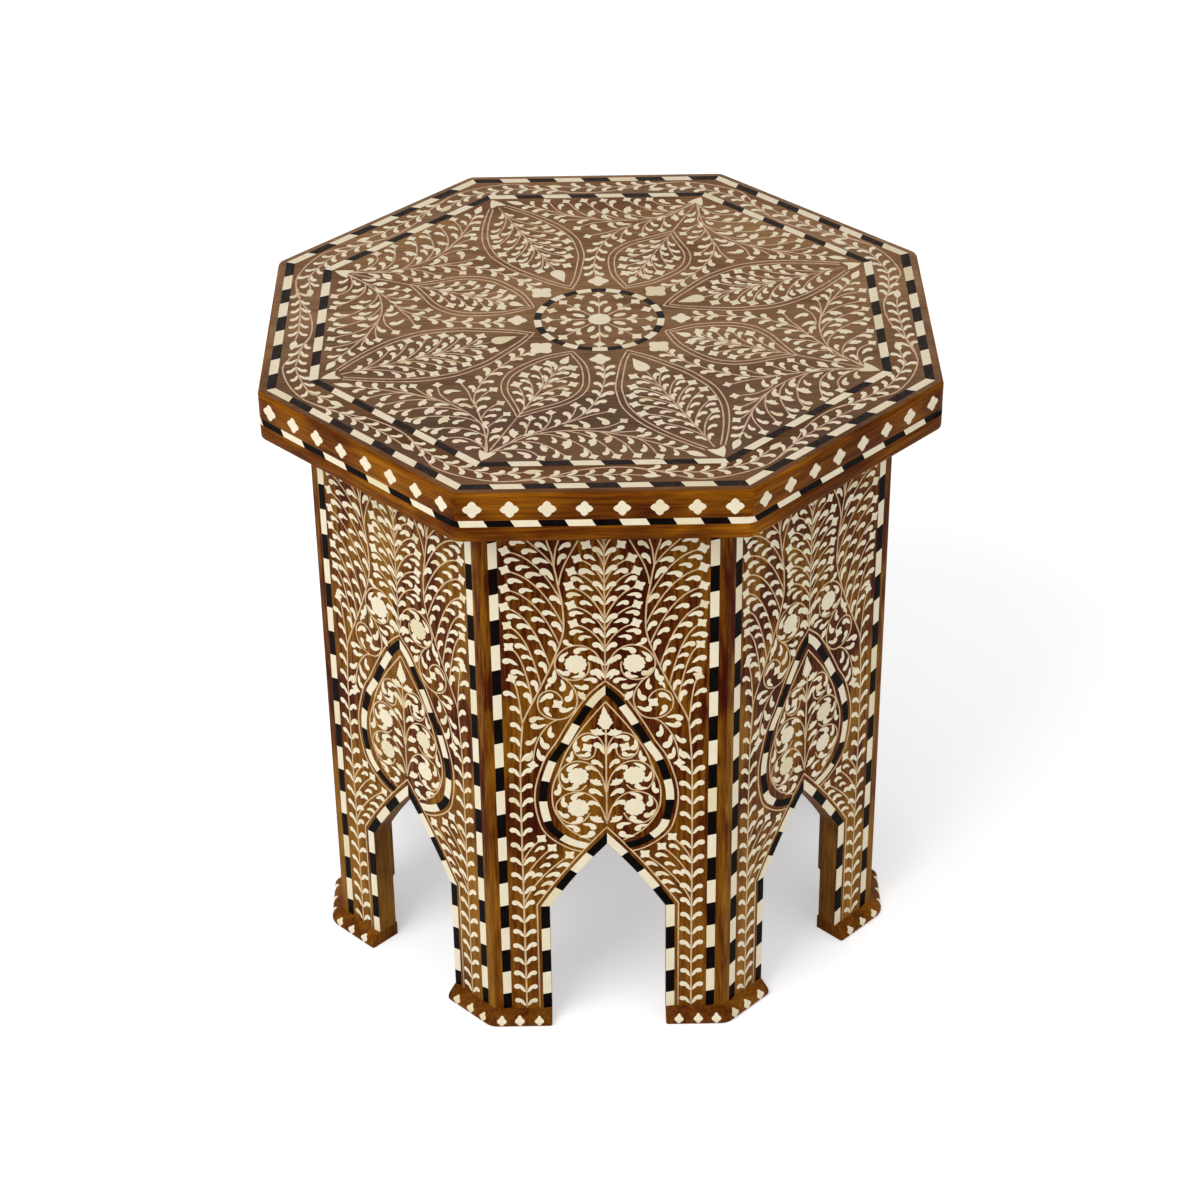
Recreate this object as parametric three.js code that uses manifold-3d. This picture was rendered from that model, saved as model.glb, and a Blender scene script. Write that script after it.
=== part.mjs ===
// Octagonal inlaid stool: a mitred eight-sided base with arched openings between its legs,
// under a lipped octagonal top. Millimetres, +Z up, origin on the floor under the centre.

import * as THREE from 'three';
import { mergeVertices } from 'three/addons/utils/BufferGeometryUtils.js';
import Module from 'manifold-3d';

const wasm = await Module();
wasm.setup();

// Overall
const sideCount = 8;
const totalHeight = 463;
const topAcross = 457;          // flat to flat
const topOverhang = 31;         // the top past the face of the base, on every side

// Top
const railDepth = 36;           // the edge of the top, as seen
const railWide = 12;
const boardDepth = 24;
const cornerRadius = 10;        // the top's corners, in plan
const arrisRadius = 3;          // the upper edge
const lipRadius = 2;            // the lower edge

// Checker strings let into the top
const stringDeep = 1.5;
const stringWide = 5.6;
const outerStringInset = 6.3;
const innerStringInset = 33.8;
const edgeStringDrop = 20;
const edgeStringWide = 4.4;

// Base
const panelThick = 16;
const legWide = 41;             // from the corner of the base to the arch
const archSpring = 103;        // the height at which the arch leaves the leg
const archRise = 56;            // from there to its point
const archBulge = 1.8;          // how far the sides of the point bow outwards

// Feet
const footHeight = 11;
const footProud = 8.4;          // past the face of the base
const footNoseHeight = 4.4;     // where the foot is widest
const footNoseDrop = 1.2;       // the flat below the nose stands in by this much
const footBack = 1.2;           // behind the panel
const footCornerRadius = 13;
const footShoulderShares = [0.86, 0.52];    // of footProud, on the way up to the panel

// Posts glued into the corners of the base
const postLeg = 26;             // along each panel
const postDeep = 20;            // from the corner inwards
const postBackWide = 28;
const postLift = 42;            // above the floor

// Cleats under the board, and their screws
const cleatDeep = 20;
const cleatTall = 20;
const cleatClearance = 1;
const screwShankRadius = 2;
const screwHeadRadius = 4;
const screwHeadTall = 2.6;
const screwTipTall = 4;
const screwCrownShare = 0.7;    // of the head's radius, at its lowest face
const screwBite = 12;           // into the board
const screwHoleClearance = 0.3;
const pilotRelief = 1;          // the hole goes this much deeper than the screw

// Joints
const glueLine = 0.3;
const cutOverrun = 1;           // how far a cutter stands past the face it cuts

// Counts
const arcSteps = 4;
const roundSteps = 12;
const archSteps = 6;

// What follows from them
const turn = 2 * Math.PI / sideCount;
const halfTurn = turn / 2;
const topApothem = topAcross / 2;
const baseApothem = topApothem - topOverhang;
const innerApothem = baseApothem - panelThick;
const boardApothem = topApothem - railWide - glueLine;
const boardUnderside = totalHeight - boardDepth;
const stringFloor = totalHeight - stringDeep;
const panelHalf = baseApothem * Math.tan(halfTurn);
const archHalf = panelHalf - legWide;
const mitreSlack = glueLine / 2 / Math.cos(halfTurn);

// Materials
function finish(color, roughness, metalness = 0) {
  return () => new THREE.MeshStandardMaterial({ color, roughness, metalness });
}
const goldenWood = finish(0x8c5525, 0.35);
const fieldWood = finish(0x75482c, 0.4);
const panelWood = finish(0x7c451d, 0.38);
const footWood = finish(0x7a4415, 0.38);
const innerWood = finish(0x9a7450, 0.8);
const bone = finish(0xeadfbe, 0.4);
const ebony = finish(0x1c191a, 0.4);
const steel = finish(0x9a9a98, 0.35, 1);

// Shared geometry helpers

// Joins shared corners and drops faces that have closed up.
function closed(positions, triangles) {
  const raw = new THREE.BufferGeometry();
  raw.setAttribute('position', new THREE.Float32BufferAttribute(positions, 3));
  raw.setIndex(triangles);
  return weld(raw);
}

function weld(geometry) {
  const bare = new THREE.BufferGeometry();
  bare.setAttribute('position', geometry.getAttribute('position').clone());
  if (geometry.index) bare.setIndex(geometry.index.clone());
  const merged = mergeVertices(bare);
  const source = merged.index.array;
  const kept = [];
  for (let i = 0; i < source.length; i += 3) {
    const [a, b, c] = [source[i], source[i + 1], source[i + 2]];
    if (a !== b && b !== c && c !== a) kept.push(a, b, c);
  }
  merged.setIndex(kept);
  if (signedVolume(merged) < 0) {
    for (let i = 0; i < kept.length; i += 3) [kept[i], kept[i + 1]] = [kept[i + 1], kept[i]];
    merged.setIndex(kept);
  }
  return merged;
}

function signedVolume(geometry) {
  const position = geometry.getAttribute('position');
  const index = geometry.index.array;
  const corners = [new THREE.Vector3(), new THREE.Vector3(), new THREE.Vector3()];
  let volume = 0;
  for (let i = 0; i < index.length; i += 3) {
    corners.forEach((corner, j) => corner.fromBufferAttribute(position, index[i + j]));
    volume += corners[0].dot(corners[1].cross(corners[2])) / 6;
  }
  return volume;
}

// Joins a row of outlines, each with as many points as the profile, into one solid.
function loft(profile, sections) {
  const count = profile.length;
  const positions = sections.flat().flatMap((point) => point.toArray());
  const triangles = [];
  for (let s = 0; s + 1 < sections.length; s += 1) {
    for (let i = 0; i < count; i += 1) {
      const next = (i + 1) % count;
      const [a, b] = [s * count + i, s * count + next];
      const [c, d] = [a + count, b + count];
      triangles.push(a, b, d, a, d, c);
    }
  }
  const last = (sections.length - 1) * count;
  for (const [a, b, c] of THREE.ShapeUtils.triangulateShape(profile, [])) {
    triangles.push(a, c, b, last + a, last + b, last + c);
  }
  return closed(positions, triangles);
}

// Points of a quarter round about a centre, from one angle to the next.
function roundPoints(x, y, radius, from, to) {
  const points = [];
  for (let i = 0; i <= arcSteps; i += 1) {
    const angle = from + (to - from) * i / arcSteps;
    points.push(new THREE.Vector2(x + radius * Math.cos(angle), y + radius * Math.sin(angle)));
  }
  return points;
}

// A point of the front side's outline on its way round the right-hand corner. Step 0 is where
// the rounding starts, and the last step is on the mitre.
function cornerPoint(apothem, radius, height, step) {
  const angle = halfTurn * step / arcSteps;
  const x = (apothem - radius) * Math.tan(halfTurn) + radius * Math.sin(angle) - mitreSlack;
  return new THREE.Vector3(x, -(apothem - radius + radius * Math.cos(angle)), height);
}

const mirrored = (point) => new THREE.Vector3(-point.x, point.y, point.z);

function solidOf(geometry) {
  const welded = weld(geometry);
  const vertProperties = new Float32Array(welded.getAttribute('position').array);
  const triVerts = new Uint32Array(welded.index.array);
  return new wasm.Manifold(new wasm.Mesh({ numProp: 3, vertProperties, triVerts }));
}

function geometryOf(solid) {
  const mesh = solid.getMesh();
  const geometry = new THREE.BufferGeometry();
  geometry.setAttribute('position', new THREE.Float32BufferAttribute(mesh.vertProperties, 3));
  geometry.setIndex([...mesh.triVerts]);
  return geometry;
}

// The corners of a regular outline with its flats facing the axes.
function octagon(apothem, Outline = THREE.Shape) {
  const reach = apothem / Math.cos(halfTurn);
  const points = [];
  for (let i = 0; i < sideCount; i += 1) {
    const angle = halfTurn + i * turn;
    points.push(new THREE.Vector2(reach * Math.cos(angle), reach * Math.sin(angle)));
  }
  return new Outline(points);
}

function roundedOctagon(apothem, radius, Outline = THREE.Shape) {
  const reach = (apothem - radius) / Math.cos(halfTurn);
  const points = [];
  for (let i = 0; i < sideCount; i += 1) {
    const middle = halfTurn + i * turn;
    for (let step = -arcSteps; step <= arcSteps; step += 1) {
      const angle = middle + halfTurn * step / arcSteps;
      const x = reach * Math.cos(middle) + radius * Math.cos(angle);
      const y = reach * Math.sin(middle) + radius * Math.sin(angle);
      points.push(new THREE.Vector2(x, y));
    }
  }
  return new Outline(points);
}

function slab(shape, bottom, top) {
  const geometry = new THREE.ExtrudeGeometry(shape, { depth: top - bottom, bevelEnabled: false });
  return geometry.translate(0, 0, bottom);
}

function octagonRing(outer, inner, bottom, top) {
  const shape = octagon(outer);
  shape.holes.push(octagon(inner, THREE.Path));
  return slab(shape, bottom, top);
}

// Top board, with the groove of its inner string and the screws' pilot holes
const screwApothem = innerApothem - glueLine - cleatDeep / 2;

function topBoard() {
  let solid = solidOf(slab(octagon(boardApothem), boardUnderside, totalHeight));
  const grooveOuter = topApothem - innerStringInset;
  const groove = octagonRing(
    grooveOuter, grooveOuter - stringWide, stringFloor, totalHeight + cutOverrun);
  solid = solid.subtract(solidOf(groove));
  const pilotRadius = screwShankRadius + screwHoleClearance;
  const pilotTop = boardUnderside + screwBite + pilotRelief;
  for (let i = 0; i < sideCount; i += 1) {
    const pilot = new THREE.CylinderGeometry(
      pilotRadius, pilotRadius, pilotTop - boardUnderside + cutOverrun, roundSteps);
    pilot.rotateX(Math.PI / 2);
    pilot.translate(0, -screwApothem, (pilotTop + boardUnderside - cutOverrun) / 2);
    pilot.rotateZ(i * turn);
    solid = solid.subtract(solidOf(pilot));
  }
  return geometryOf(solid);
}

function innerString() {
  const outer = topApothem - innerStringInset - glueLine / 2;
  return octagonRing(outer, outer - stringWide + glueLine, stringFloor, totalHeight);
}

function outerString() {
  const outer = topApothem - outerStringInset - glueLine / 2;
  const inner = topApothem - outerStringInset - stringWide;
  return octagonRing(outer, inner, stringFloor, totalHeight);
}

// Edge rail. Its profile is the inset from the outer face against the height, and its corners
// are rounded in plan less and less towards the string, which is mitred sharp.
const railRadiusAt = (inset) => cornerRadius * Math.max(1 - inset / outerStringInset, 0);

function railProfile() {
  const bottom = totalHeight - railDepth;
  const grooveTop = totalHeight - edgeStringDrop;
  const grooveBottom = grooveTop - edgeStringWide;
  return [
    new THREE.Vector2(railWide, bottom),
    new THREE.Vector2(railWide, stringFloor),
    new THREE.Vector2(outerStringInset, stringFloor),
    new THREE.Vector2(outerStringInset, totalHeight),
    ...roundPoints(arrisRadius, totalHeight - arrisRadius, arrisRadius, Math.PI / 2, Math.PI),
    new THREE.Vector2(0, grooveTop),
    new THREE.Vector2(stringDeep, grooveTop),
    new THREE.Vector2(stringDeep, grooveBottom),
    new THREE.Vector2(0, grooveBottom),
    ...roundPoints(lipRadius, bottom + lipRadius, lipRadius, Math.PI, Math.PI * 1.5),
  ];
}

function edgeRail() {
  const profile = railProfile();
  const right = [];
  for (let step = 0; step <= arcSteps; step += 1) {
    right.push(profile.map((p) => cornerPoint(topApothem - p.x, railRadiusAt(p.x), p.y, step)));
  }
  const left = right.map((section) => section.map(mirrored)).reverse();
  return loft(profile, [...left, ...right]);
}

// The string that runs round the edge, flush with the rails
function edgeString() {
  const high = totalHeight - edgeStringDrop;
  const backInset = stringDeep - glueLine;
  const shape = roundedOctagon(topApothem, cornerRadius);
  const back = roundedOctagon(topApothem - backInset, railRadiusAt(backInset), THREE.Path);
  shape.holes.push(back);
  return slab(shape, high - edgeStringWide, high);
}

// Side panel: an arched board whose long edges are mitred to its neighbours
function sidePanel() {
  const tall = boardUnderside - footHeight;
  const spring = archSpring - footHeight;
  const point = spring + archRise;
  const slant = Math.hypot(archHalf, archRise);
  const bowX = archHalf / 2 + 2 * archBulge * archRise / slant;
  const bowY = (spring + point) / 2 + 2 * archBulge * archHalf / slant;
  const shape = new THREE.Shape();
  shape.moveTo(-panelHalf, 0);
  shape.lineTo(-archHalf, 0);
  shape.lineTo(-archHalf, spring);
  shape.quadraticCurveTo(-bowX, bowY, 0, point);
  shape.quadraticCurveTo(bowX, bowY, archHalf, spring);
  shape.lineTo(archHalf, 0);
  shape.lineTo(panelHalf, 0);
  shape.lineTo(panelHalf, tall);
  shape.lineTo(-panelHalf, tall);
  const geometry = new THREE.ExtrudeGeometry(
    shape, { depth: panelThick, bevelEnabled: false, curveSegments: archSteps });
  geometry.rotateX(Math.PI / 2);
  geometry.translate(0, -innerApothem, footHeight);
  const position = geometry.getAttribute('position');
  for (let i = 0; i < position.count; i += 1) {
    const x = position.getX(i);
    if (Math.abs(x) > archHalf + legWide / 2) {
      position.setX(i, Math.sign(x) * (-position.getY(i) * Math.tan(halfTurn) - mitreSlack));
    }
  }
  return weld(geometry);
}

// Foot moulding under half a leg, from the mitre to the arch. Its profile is how far it stands
// out from the face of the base against the height.
function footProfile() {
  const back = -panelThick - footBack;
  const [lowShoulder, highShoulder] = footShoulderShares;
  return [
    new THREE.Vector2(back, 0),
    new THREE.Vector2(footProud - footNoseDrop, 0),
    new THREE.Vector2(footProud - footNoseDrop / 3, footNoseHeight / 4),
    new THREE.Vector2(footProud, footNoseHeight / 2),
    new THREE.Vector2(footProud, footNoseHeight),
    new THREE.Vector2(footProud * lowShoulder, (footNoseHeight * 2 + footHeight) / 3),
    new THREE.Vector2(footProud * highShoulder, (footNoseHeight + footHeight * 2) / 3),
    new THREE.Vector2(0, footHeight),
    new THREE.Vector2(back, footHeight),
  ];
}

function footMoulding() {
  const profile = footProfile();
  const radiusAt = (proud) => footCornerRadius * Math.max(proud / footProud, 0);
  const sections = [profile.map((p) => new THREE.Vector3(archHalf, -baseApothem - p.x, p.y))];
  for (let step = 0; step <= arcSteps; step += 1) {
    sections.push(profile.map((p) => cornerPoint(baseApothem + p.x, radiusAt(p.x), p.y, step)));
  }
  return loft(profile, sections);
}

// Post in the corner of the base, drawn with the corner towards the front
function cornerPost() {
  const corner = innerApothem / Math.cos(halfTurn) - glueLine / Math.cos(halfTurn);
  const along = Math.PI / 2 - halfTurn;
  const side = postLeg * Math.sin(along);
  const shape = new THREE.Shape();
  shape.moveTo(0, -corner);
  shape.lineTo(side, -corner + postLeg * Math.cos(along));
  shape.lineTo(postBackWide / 2, -corner + postDeep);
  shape.lineTo(-postBackWide / 2, -corner + postDeep);
  shape.lineTo(-side, -corner + postLeg * Math.cos(along));
  return slab(shape, postLift, boardUnderside);
}

// Cleat along the head of a panel, with the hole of its screw
function headCleat() {
  const half = innerApothem * Math.tan(halfTurn) - postLeg - cleatClearance;
  const outside = innerApothem - glueLine;
  const shape = new THREE.Shape();
  shape.moveTo(-half, -outside);
  shape.lineTo(half, -outside);
  shape.lineTo(half, -outside + cleatDeep);
  shape.lineTo(-half, -outside + cleatDeep);
  const hole = new THREE.Path();
  hole.absarc(0, -screwApothem, screwShankRadius + screwHoleClearance, 0, Math.PI * 2);
  shape.holes.push(hole);
  const options = { depth: cleatTall, bevelEnabled: false, curveSegments: roundSteps };
  return new THREE.ExtrudeGeometry(shape, options).translate(0, 0, boardUnderside - cleatTall);
}

function cleatScrew() {
  const seat = boardUnderside - cleatTall;
  const tip = boardUnderside + screwBite;
  const profile = [
    new THREE.Vector2(0, seat - screwHeadTall),
    new THREE.Vector2(screwHeadRadius * screwCrownShare, seat - screwHeadTall),
    new THREE.Vector2(screwHeadRadius, seat - screwHeadTall / 2),
    new THREE.Vector2(screwHeadRadius, seat),
    new THREE.Vector2(screwShankRadius, seat),
    new THREE.Vector2(screwShankRadius, tip - screwTipTall),
    new THREE.Vector2(0, tip),
  ];
  const screw = new THREE.LatheGeometry(profile, roundSteps);
  screw.rotateX(Math.PI / 2);
  return screw.translate(0, -screwApothem, 0);
}

// The stool
const stool = new THREE.Group();

function add(parent, name, geometry, material) {
  const mesh = new THREE.Mesh(weld(geometry), material());
  mesh.name = name;
  parent.add(mesh);
  return mesh;
}

add(stool, 'top_board', topBoard(), fieldWood);
add(stool, 'top_outer_string', outerString(), bone);
add(stool, 'top_inner_string', innerString(), ebony);
add(stool, 'top_edge_string', edgeString(), bone);

for (let i = 0; i < sideCount; i += 1) {
  const number = i + 1;
  const side = new THREE.Group();
  side.rotation.z = i * turn;
  stool.add(side);
  add(side, `top_edge_rail_${number}`, edgeRail(), goldenWood);
  add(side, `side_panel_${number}`, sidePanel(), panelWood);
  add(side, `foot_moulding_right_${number}`, footMoulding(), footWood);
  add(side, `foot_moulding_left_${number}`, footMoulding().scale(-1, 1, 1), footWood);
  add(side, `head_cleat_${number}`, headCleat(), innerWood);
  add(side, `cleat_screw_${number}`, cleatScrew(), steel);

  const corner = new THREE.Group();
  corner.rotation.z = (i + 0.5) * turn;
  stool.add(corner);
  add(corner, `corner_post_${number}`, cornerPost(), innerWood);
}

export default stool;
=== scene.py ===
import math
import random

import bmesh
import bpy
from mathutils import Matrix, Vector


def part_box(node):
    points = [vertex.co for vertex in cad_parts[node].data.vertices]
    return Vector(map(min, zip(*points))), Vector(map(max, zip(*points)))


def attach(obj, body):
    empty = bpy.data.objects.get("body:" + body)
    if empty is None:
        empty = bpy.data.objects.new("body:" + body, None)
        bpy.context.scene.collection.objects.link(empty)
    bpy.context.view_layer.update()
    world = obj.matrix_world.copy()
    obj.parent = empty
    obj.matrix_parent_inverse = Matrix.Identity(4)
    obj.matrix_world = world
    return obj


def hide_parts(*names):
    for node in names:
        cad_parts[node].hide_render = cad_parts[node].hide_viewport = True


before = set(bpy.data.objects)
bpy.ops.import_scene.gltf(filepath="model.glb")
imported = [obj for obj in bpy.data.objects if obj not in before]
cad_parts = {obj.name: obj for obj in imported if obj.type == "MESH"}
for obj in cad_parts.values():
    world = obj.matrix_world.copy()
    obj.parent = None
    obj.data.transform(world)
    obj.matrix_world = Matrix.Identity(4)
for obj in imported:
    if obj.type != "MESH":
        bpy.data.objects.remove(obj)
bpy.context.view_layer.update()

bpy.ops.object.select_all(action="DESELECT")

mm = 0.001
sideCount = 8
sideTurn = math.tau / sideCount
halfSide = math.tan(sideTurn / 2)       # half a side's length for each unit of apothem

# sizes read from the frame, in millimetres
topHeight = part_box("top_board")[1].z / mm
drawnHeight = 460                       # where the top is in the drawings of the sides
lift = topHeight - drawnHeight
topApothem = -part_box("top_edge_rail_1")[0].y / mm
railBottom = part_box("top_edge_rail_1")[0].z / mm
baseApothem = -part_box("side_panel_1")[0].y / mm
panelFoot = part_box("side_panel_1")[0].z / mm - lift
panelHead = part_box("side_panel_1")[1].z / mm - lift
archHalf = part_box("foot_moulding_right_1")[0].x / mm
panelHalf = baseApothem * halfSide

inlay = {
    "proud": 0.12,      # above the wood
    "deep": 1.1,        # into it
    "sunk": 0.03,
    "glueAndShade": 0.36,       # dark glue line round a piece, sloping down into the wood; partly painted shade at the piece's edge
    "blockGlueAndShade": 0.26,
    "glueAndShadeDrop": 0.05,
    "joint": 0.25,      # between two blocks
    "leafGap": 0.6,     # from the middle of a stem to a leaf's tail
    "turnJitter": 4.0,  # degrees
    "sizeJitter": 0.06,
    "placeJitter": 0.12,
    "flower": 0.78,     # size of a star on a branch
    "flatNormal": 0.99, # faces that rise more than this show the bone, the others the dark glue, partly painted shade
    "blockStep": 4.0,   # a string that bends follows its line in steps of about this length
    "mitreSpare": 6.0,  # a string's ends reach as far as this past a mitre before it is cut
}
stemWidths = {"thin": 0.52, "spray": 0.56, "vine": 0.6}
touch = 0.01            # places nearer than this, in millimetres, are taken as one


# Colours and materials

def paint(red, green, blue):
    channels = [c / 255 for c in (red, green, blue)]
    flat = [c / 12.92 if c <= 0.04045 else ((c + 0.055) / 1.055) ** 2.4 for c in channels]
    return (*flat, 1)


def newMaterial(name, roughness, sheen):
    material = bpy.data.materials.new(name)
    material.use_nodes = True
    nodes, links = material.node_tree.nodes, material.node_tree.links
    shader = nodes["Principled BSDF"]
    shader.inputs["Roughness"].default_value = roughness
    shader.inputs["Specular IOR Level"].default_value = sheen
    return material, nodes, links, shader


def mapped(nodes, links, scale, turned=0.0, shift=0.0):
    coords = nodes.new("ShaderNodeTexCoord")
    spin = nodes.new("ShaderNodeMapping")
    spin.vector_type = "TEXTURE"
    spin.inputs["Rotation"].default_value = (0, 0, turned)
    stretch = nodes.new("ShaderNodeMapping")
    stretch.inputs["Location"].default_value = (shift, shift, shift)
    stretch.inputs["Scale"].default_value = scale
    links.new(coords.outputs["Object"], spin.inputs["Vector"])
    links.new(spin.outputs["Vector"], stretch.inputs["Vector"])
    return stretch.outputs["Vector"]


def noise(nodes, links, vector, detail, rough, warp=0.0):
    node = nodes.new("ShaderNodeTexNoise")
    node.inputs["Scale"].default_value = 1
    node.inputs["Detail"].default_value = detail
    node.inputs["Roughness"].default_value = rough
    node.inputs["Distortion"].default_value = warp
    links.new(vector, node.inputs["Vector"])
    return node.outputs["Fac"]


def ramp(nodes, links, factor, stops):
    node = nodes.new("ShaderNodeValToRGB")
    elements = node.color_ramp.elements
    while len(elements) < len(stops):
        elements.new(0.5)
    for element, (place, colour) in zip(elements, stops):
        element.position, element.color = place, colour
    links.new(factor, node.inputs["Fac"])
    return node.outputs["Color"]


def calculate(nodes, links, kind, first, second):
    node = nodes.new("ShaderNodeMath")
    node.operation = kind
    for socket, value in zip(node.inputs, (first, second)):
        if isinstance(value, (int, float)):
            socket.default_value = value
        else:
            links.new(value, socket)
    return node.outputs["Value"]


def blendColours(nodes, links, kind, factor, first, second):
    node = nodes.new("ShaderNodeMix")
    node.data_type, node.blend_type = "RGBA", kind
    if isinstance(factor, (int, float)):
        node.inputs["Factor"].default_value = factor
    else:
        links.new(factor, node.inputs["Factor"])
    links.new(first, node.inputs["A"])
    if isinstance(second, tuple):
        node.inputs["B"].default_value = second
    else:
        links.new(second, node.inputs["B"])
    return node.outputs["Result"]


def addBump(nodes, links, shader, height, strength, distance):
    bump = nodes.new("ShaderNodeBump")
    bump.inputs["Strength"].default_value = strength
    bump.inputs["Distance"].default_value = distance
    links.new(height, bump.inputs["Height"])
    links.new(bump.outputs["Normal"], shader.inputs["Normal"])


# white where the factor is low, black where it is high
def lowMask(nodes, links, factor, low, high):
    return ramp(nodes, links, factor, [(low, (1, 1, 1, 1)), (high, (0, 0, 0, 1))])


# one coordinate of the object, in metres
def placeAlong(nodes, links, axis, shift=0.0):
    split = nodes.new("ShaderNodeSeparateXYZ")
    links.new(mapped(nodes, links, (1, 1, 1), shift=shift), split.inputs["Vector"])
    return split.outputs[axis]


woodGrain = {
    "streaks": (6, 0.62, 0.5), "pores": (2, 0.5), "blotches": (3, 0.5, 0.8),    # detail, roughness, warp
    "blotchLength": 0.45, "blotchShift": 7, "poreEdge": (0.34, 0.42), "bump": (0.12, 0.0004),
}


def makeWood(look, turned=0.0, shift=0.0):
    material, nodes, links, shader = newMaterial(look["name"], look["roughness"], look["sheen"])

    def grainNoise(kind, across, along, shift):
        scale = (across, across, along) if look["upright"] else (along, across, across)
        return noise(nodes, links, mapped(nodes, links, scale, turned, shift), *woodGrain[kind])

    across, along, blot = (1000 / look[size] for size in ("grainWide", "grainLong", "blotch"))
    fine = look["poreShare"]
    streaks = grainNoise("streaks", across, along, shift)
    pores = grainNoise("pores", across * fine, along * fine, shift)
    blotches = grainNoise("blotches", blot, blot * woodGrain["blotchLength"], shift + woodGrain["blotchShift"])
    mixed = calculate(nodes, links, "ADD", calculate(nodes, links, "MULTIPLY", streaks, 0.5),
                      calculate(nodes, links, "MULTIPLY", blotches, 0.5))
    colour = ramp(nodes, links, mixed, look["colours"])
    if "lowColours" in look:        # the legs are cut from lighter wood
        wavy = calculate(nodes, links, "ADD", placeAlong(nodes, links, "Z"),
                         calculate(nodes, links, "MULTIPLY", blotches, look["lowWave"]))
        colour = blendColours(nodes, links, "MIX", lowMask(nodes, links, wavy, *look["lowHeights"]), colour,
                              ramp(nodes, links, mixed, look["lowColours"]))
    if "frontShadeTones" in look:        # painted shade: the field is made darker towards the front of the top
        tones = ramp(nodes, links, placeAlong(nodes, links, "Y", look["frontShadeShift"]), look["frontShadeTones"])
        colour = blendColours(nodes, links, "MULTIPLY", 1.0, colour, tones)
    poreMask = lowMask(nodes, links, pores, *woodGrain["poreEdge"])
    colour = blendColours(nodes, links, "MIX", calculate(nodes, links, "MULTIPLY", poreMask, look["poreDepth"]),
                          colour, look["poreColour"])
    links.new(colour, shader.inputs["Base Color"])
    addBump(nodes, links, shader, streaks, *woodGrain["bump"])
    return material


panelWoodLook = {
    "name": "panelWood", "upright": True, "roughness": 0.5, "sheen": 0.03,
    "grainWide": 2.6, "grainLong": 42, "poreShare": 2.4, "poreDepth": 0.35, "blotch": 34,
    "colours": [(0.4, paint(57, 12, 1)), (0.47, paint(82, 33, 2)), (0.53, paint(110, 63, 6)),
                (0.62, paint(136, 88, 14))],
    "lowColours": [(0.38, paint(88, 40, 4)), (0.48, paint(118, 69, 13)), (0.6, paint(145, 92, 22))],
    "lowHeights": (0.15, 0.19), "lowWave": 0.05,
    "poreColour": paint(42, 10, 1),
}
# painted reflection: every second side gets a paler copy of the panel wood, standing in for the glancing sheen on
# the slanting sides
sheenPanelLook = {
    **panelWoodLook, "name": "sheenPanelWood",
    "colours": [(0.4, paint(63, 21, 8)), (0.47, paint(90, 43, 14)), (0.53, paint(120, 75, 23)),
                (0.62, paint(147, 103, 36))],
    "lowColours": [(0.38, paint(94, 49, 12)), (0.48, paint(125, 80, 25)), (0.6, paint(151, 104, 37))],
}
footWoodLook = {
    "name": "footWood", "upright": True, "roughness": 0.5, "sheen": 0.03,
    "grainWide": 2.6, "grainLong": 42, "poreShare": 2.4, "poreDepth": 0.35, "blotch": 34,
    "colours": [(0.36, paint(76, 31, 3)), (0.5, paint(108, 60, 10)), (0.64, paint(138, 85, 20))],
    "poreColour": paint(42, 10, 1),
}
innerWoodLook = {
    **footWoodLook, "name": "innerWood", "roughness": 0.75, "sheen": 0.1,
    "colours": [(0.36, paint(120, 78, 48)), (0.5, paint(150, 104, 68)), (0.64, paint(172, 126, 86))],
    "poreColour": paint(60, 14, 4),
}
fieldWoodLook = {
    "name": "fieldWood", "upright": False, "roughness": 0.42, "sheen": 0.06,
    "grainWide": 2.2, "grainLong": 36, "poreShare": 2.6, "poreDepth": 0.25, "blotch": 40,
    "colours": [(0.38, paint(99, 66, 39)), (0.48, paint(119, 84, 53)), (0.58, paint(136, 100, 65)),
                (0.68, paint(149, 114, 74))],
    "poreColour": paint(72, 44, 29),
    # painted shade: darker tones towards the front of the field
    "frontShadeShift": 0.25,
    "frontShadeTones": [(0.03, (0.66, 0.53, 0.38, 1)), (0.11, (0.47, 0.38, 0.28, 1)),
                   (0.17, (0.72, 0.66, 0.56, 1)), (0.24, (0.93, 0.92, 0.9, 1)), (0.34, (1, 1, 1, 1))],
}
railWoodLook = {
    "name": "railWood", "upright": False, "roughness": 0.45, "sheen": 0.03,
    "grainWide": 2.6, "grainLong": 60, "poreShare": 2.4, "poreDepth": 0.4, "blotch": 42,
    "colours": [(0.36, paint(68, 25, 1)), (0.46, paint(104, 53, 3)), (0.56, paint(136, 79, 7)),
                (0.68, paint(172, 110, 20))],
    "poreColour": paint(50, 15, 1),
}
boneLook = {
    "cloud": 220, "cloudEdge": (0.45, 0.75), "cloudDepth": 0.35, "fibre": 900, "bump": (0.08, 0.0003),
    "deepBelow": 0.2,       # share of the pieces that go over to the deep colour
}


def makeBone(name, pale, deep, stain):
    material, nodes, links, shader = newMaterial(name, 0.38, 0.2)
    tone = nodes.new("ShaderNodeAttribute")
    tone.attribute_name = "tone"
    body = ramp(nodes, links, tone.outputs["Fac"], [(0.0, deep), (boneLook["deepBelow"], pale), (1.0, pale)])
    cloud = noise(nodes, links, mapped(nodes, links, [boneLook["cloud"]] * 3), 4, 0.6)
    low, high = boneLook["cloudEdge"]
    cloudMask = ramp(nodes, links, cloud, [(low, (0, 0, 0, 1)), (high, (1, 1, 1, 1))])
    stained = calculate(nodes, links, "MULTIPLY", cloudMask, boneLook["cloudDepth"])
    links.new(blendColours(nodes, links, "MIX", stained, body, stain), shader.inputs["Base Color"])
    fibre = noise(nodes, links, mapped(nodes, links, [boneLook["fibre"]] * 3), 3, 0.6)
    addBump(nodes, links, shader, fibre, *boneLook["bump"])
    return material


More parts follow.
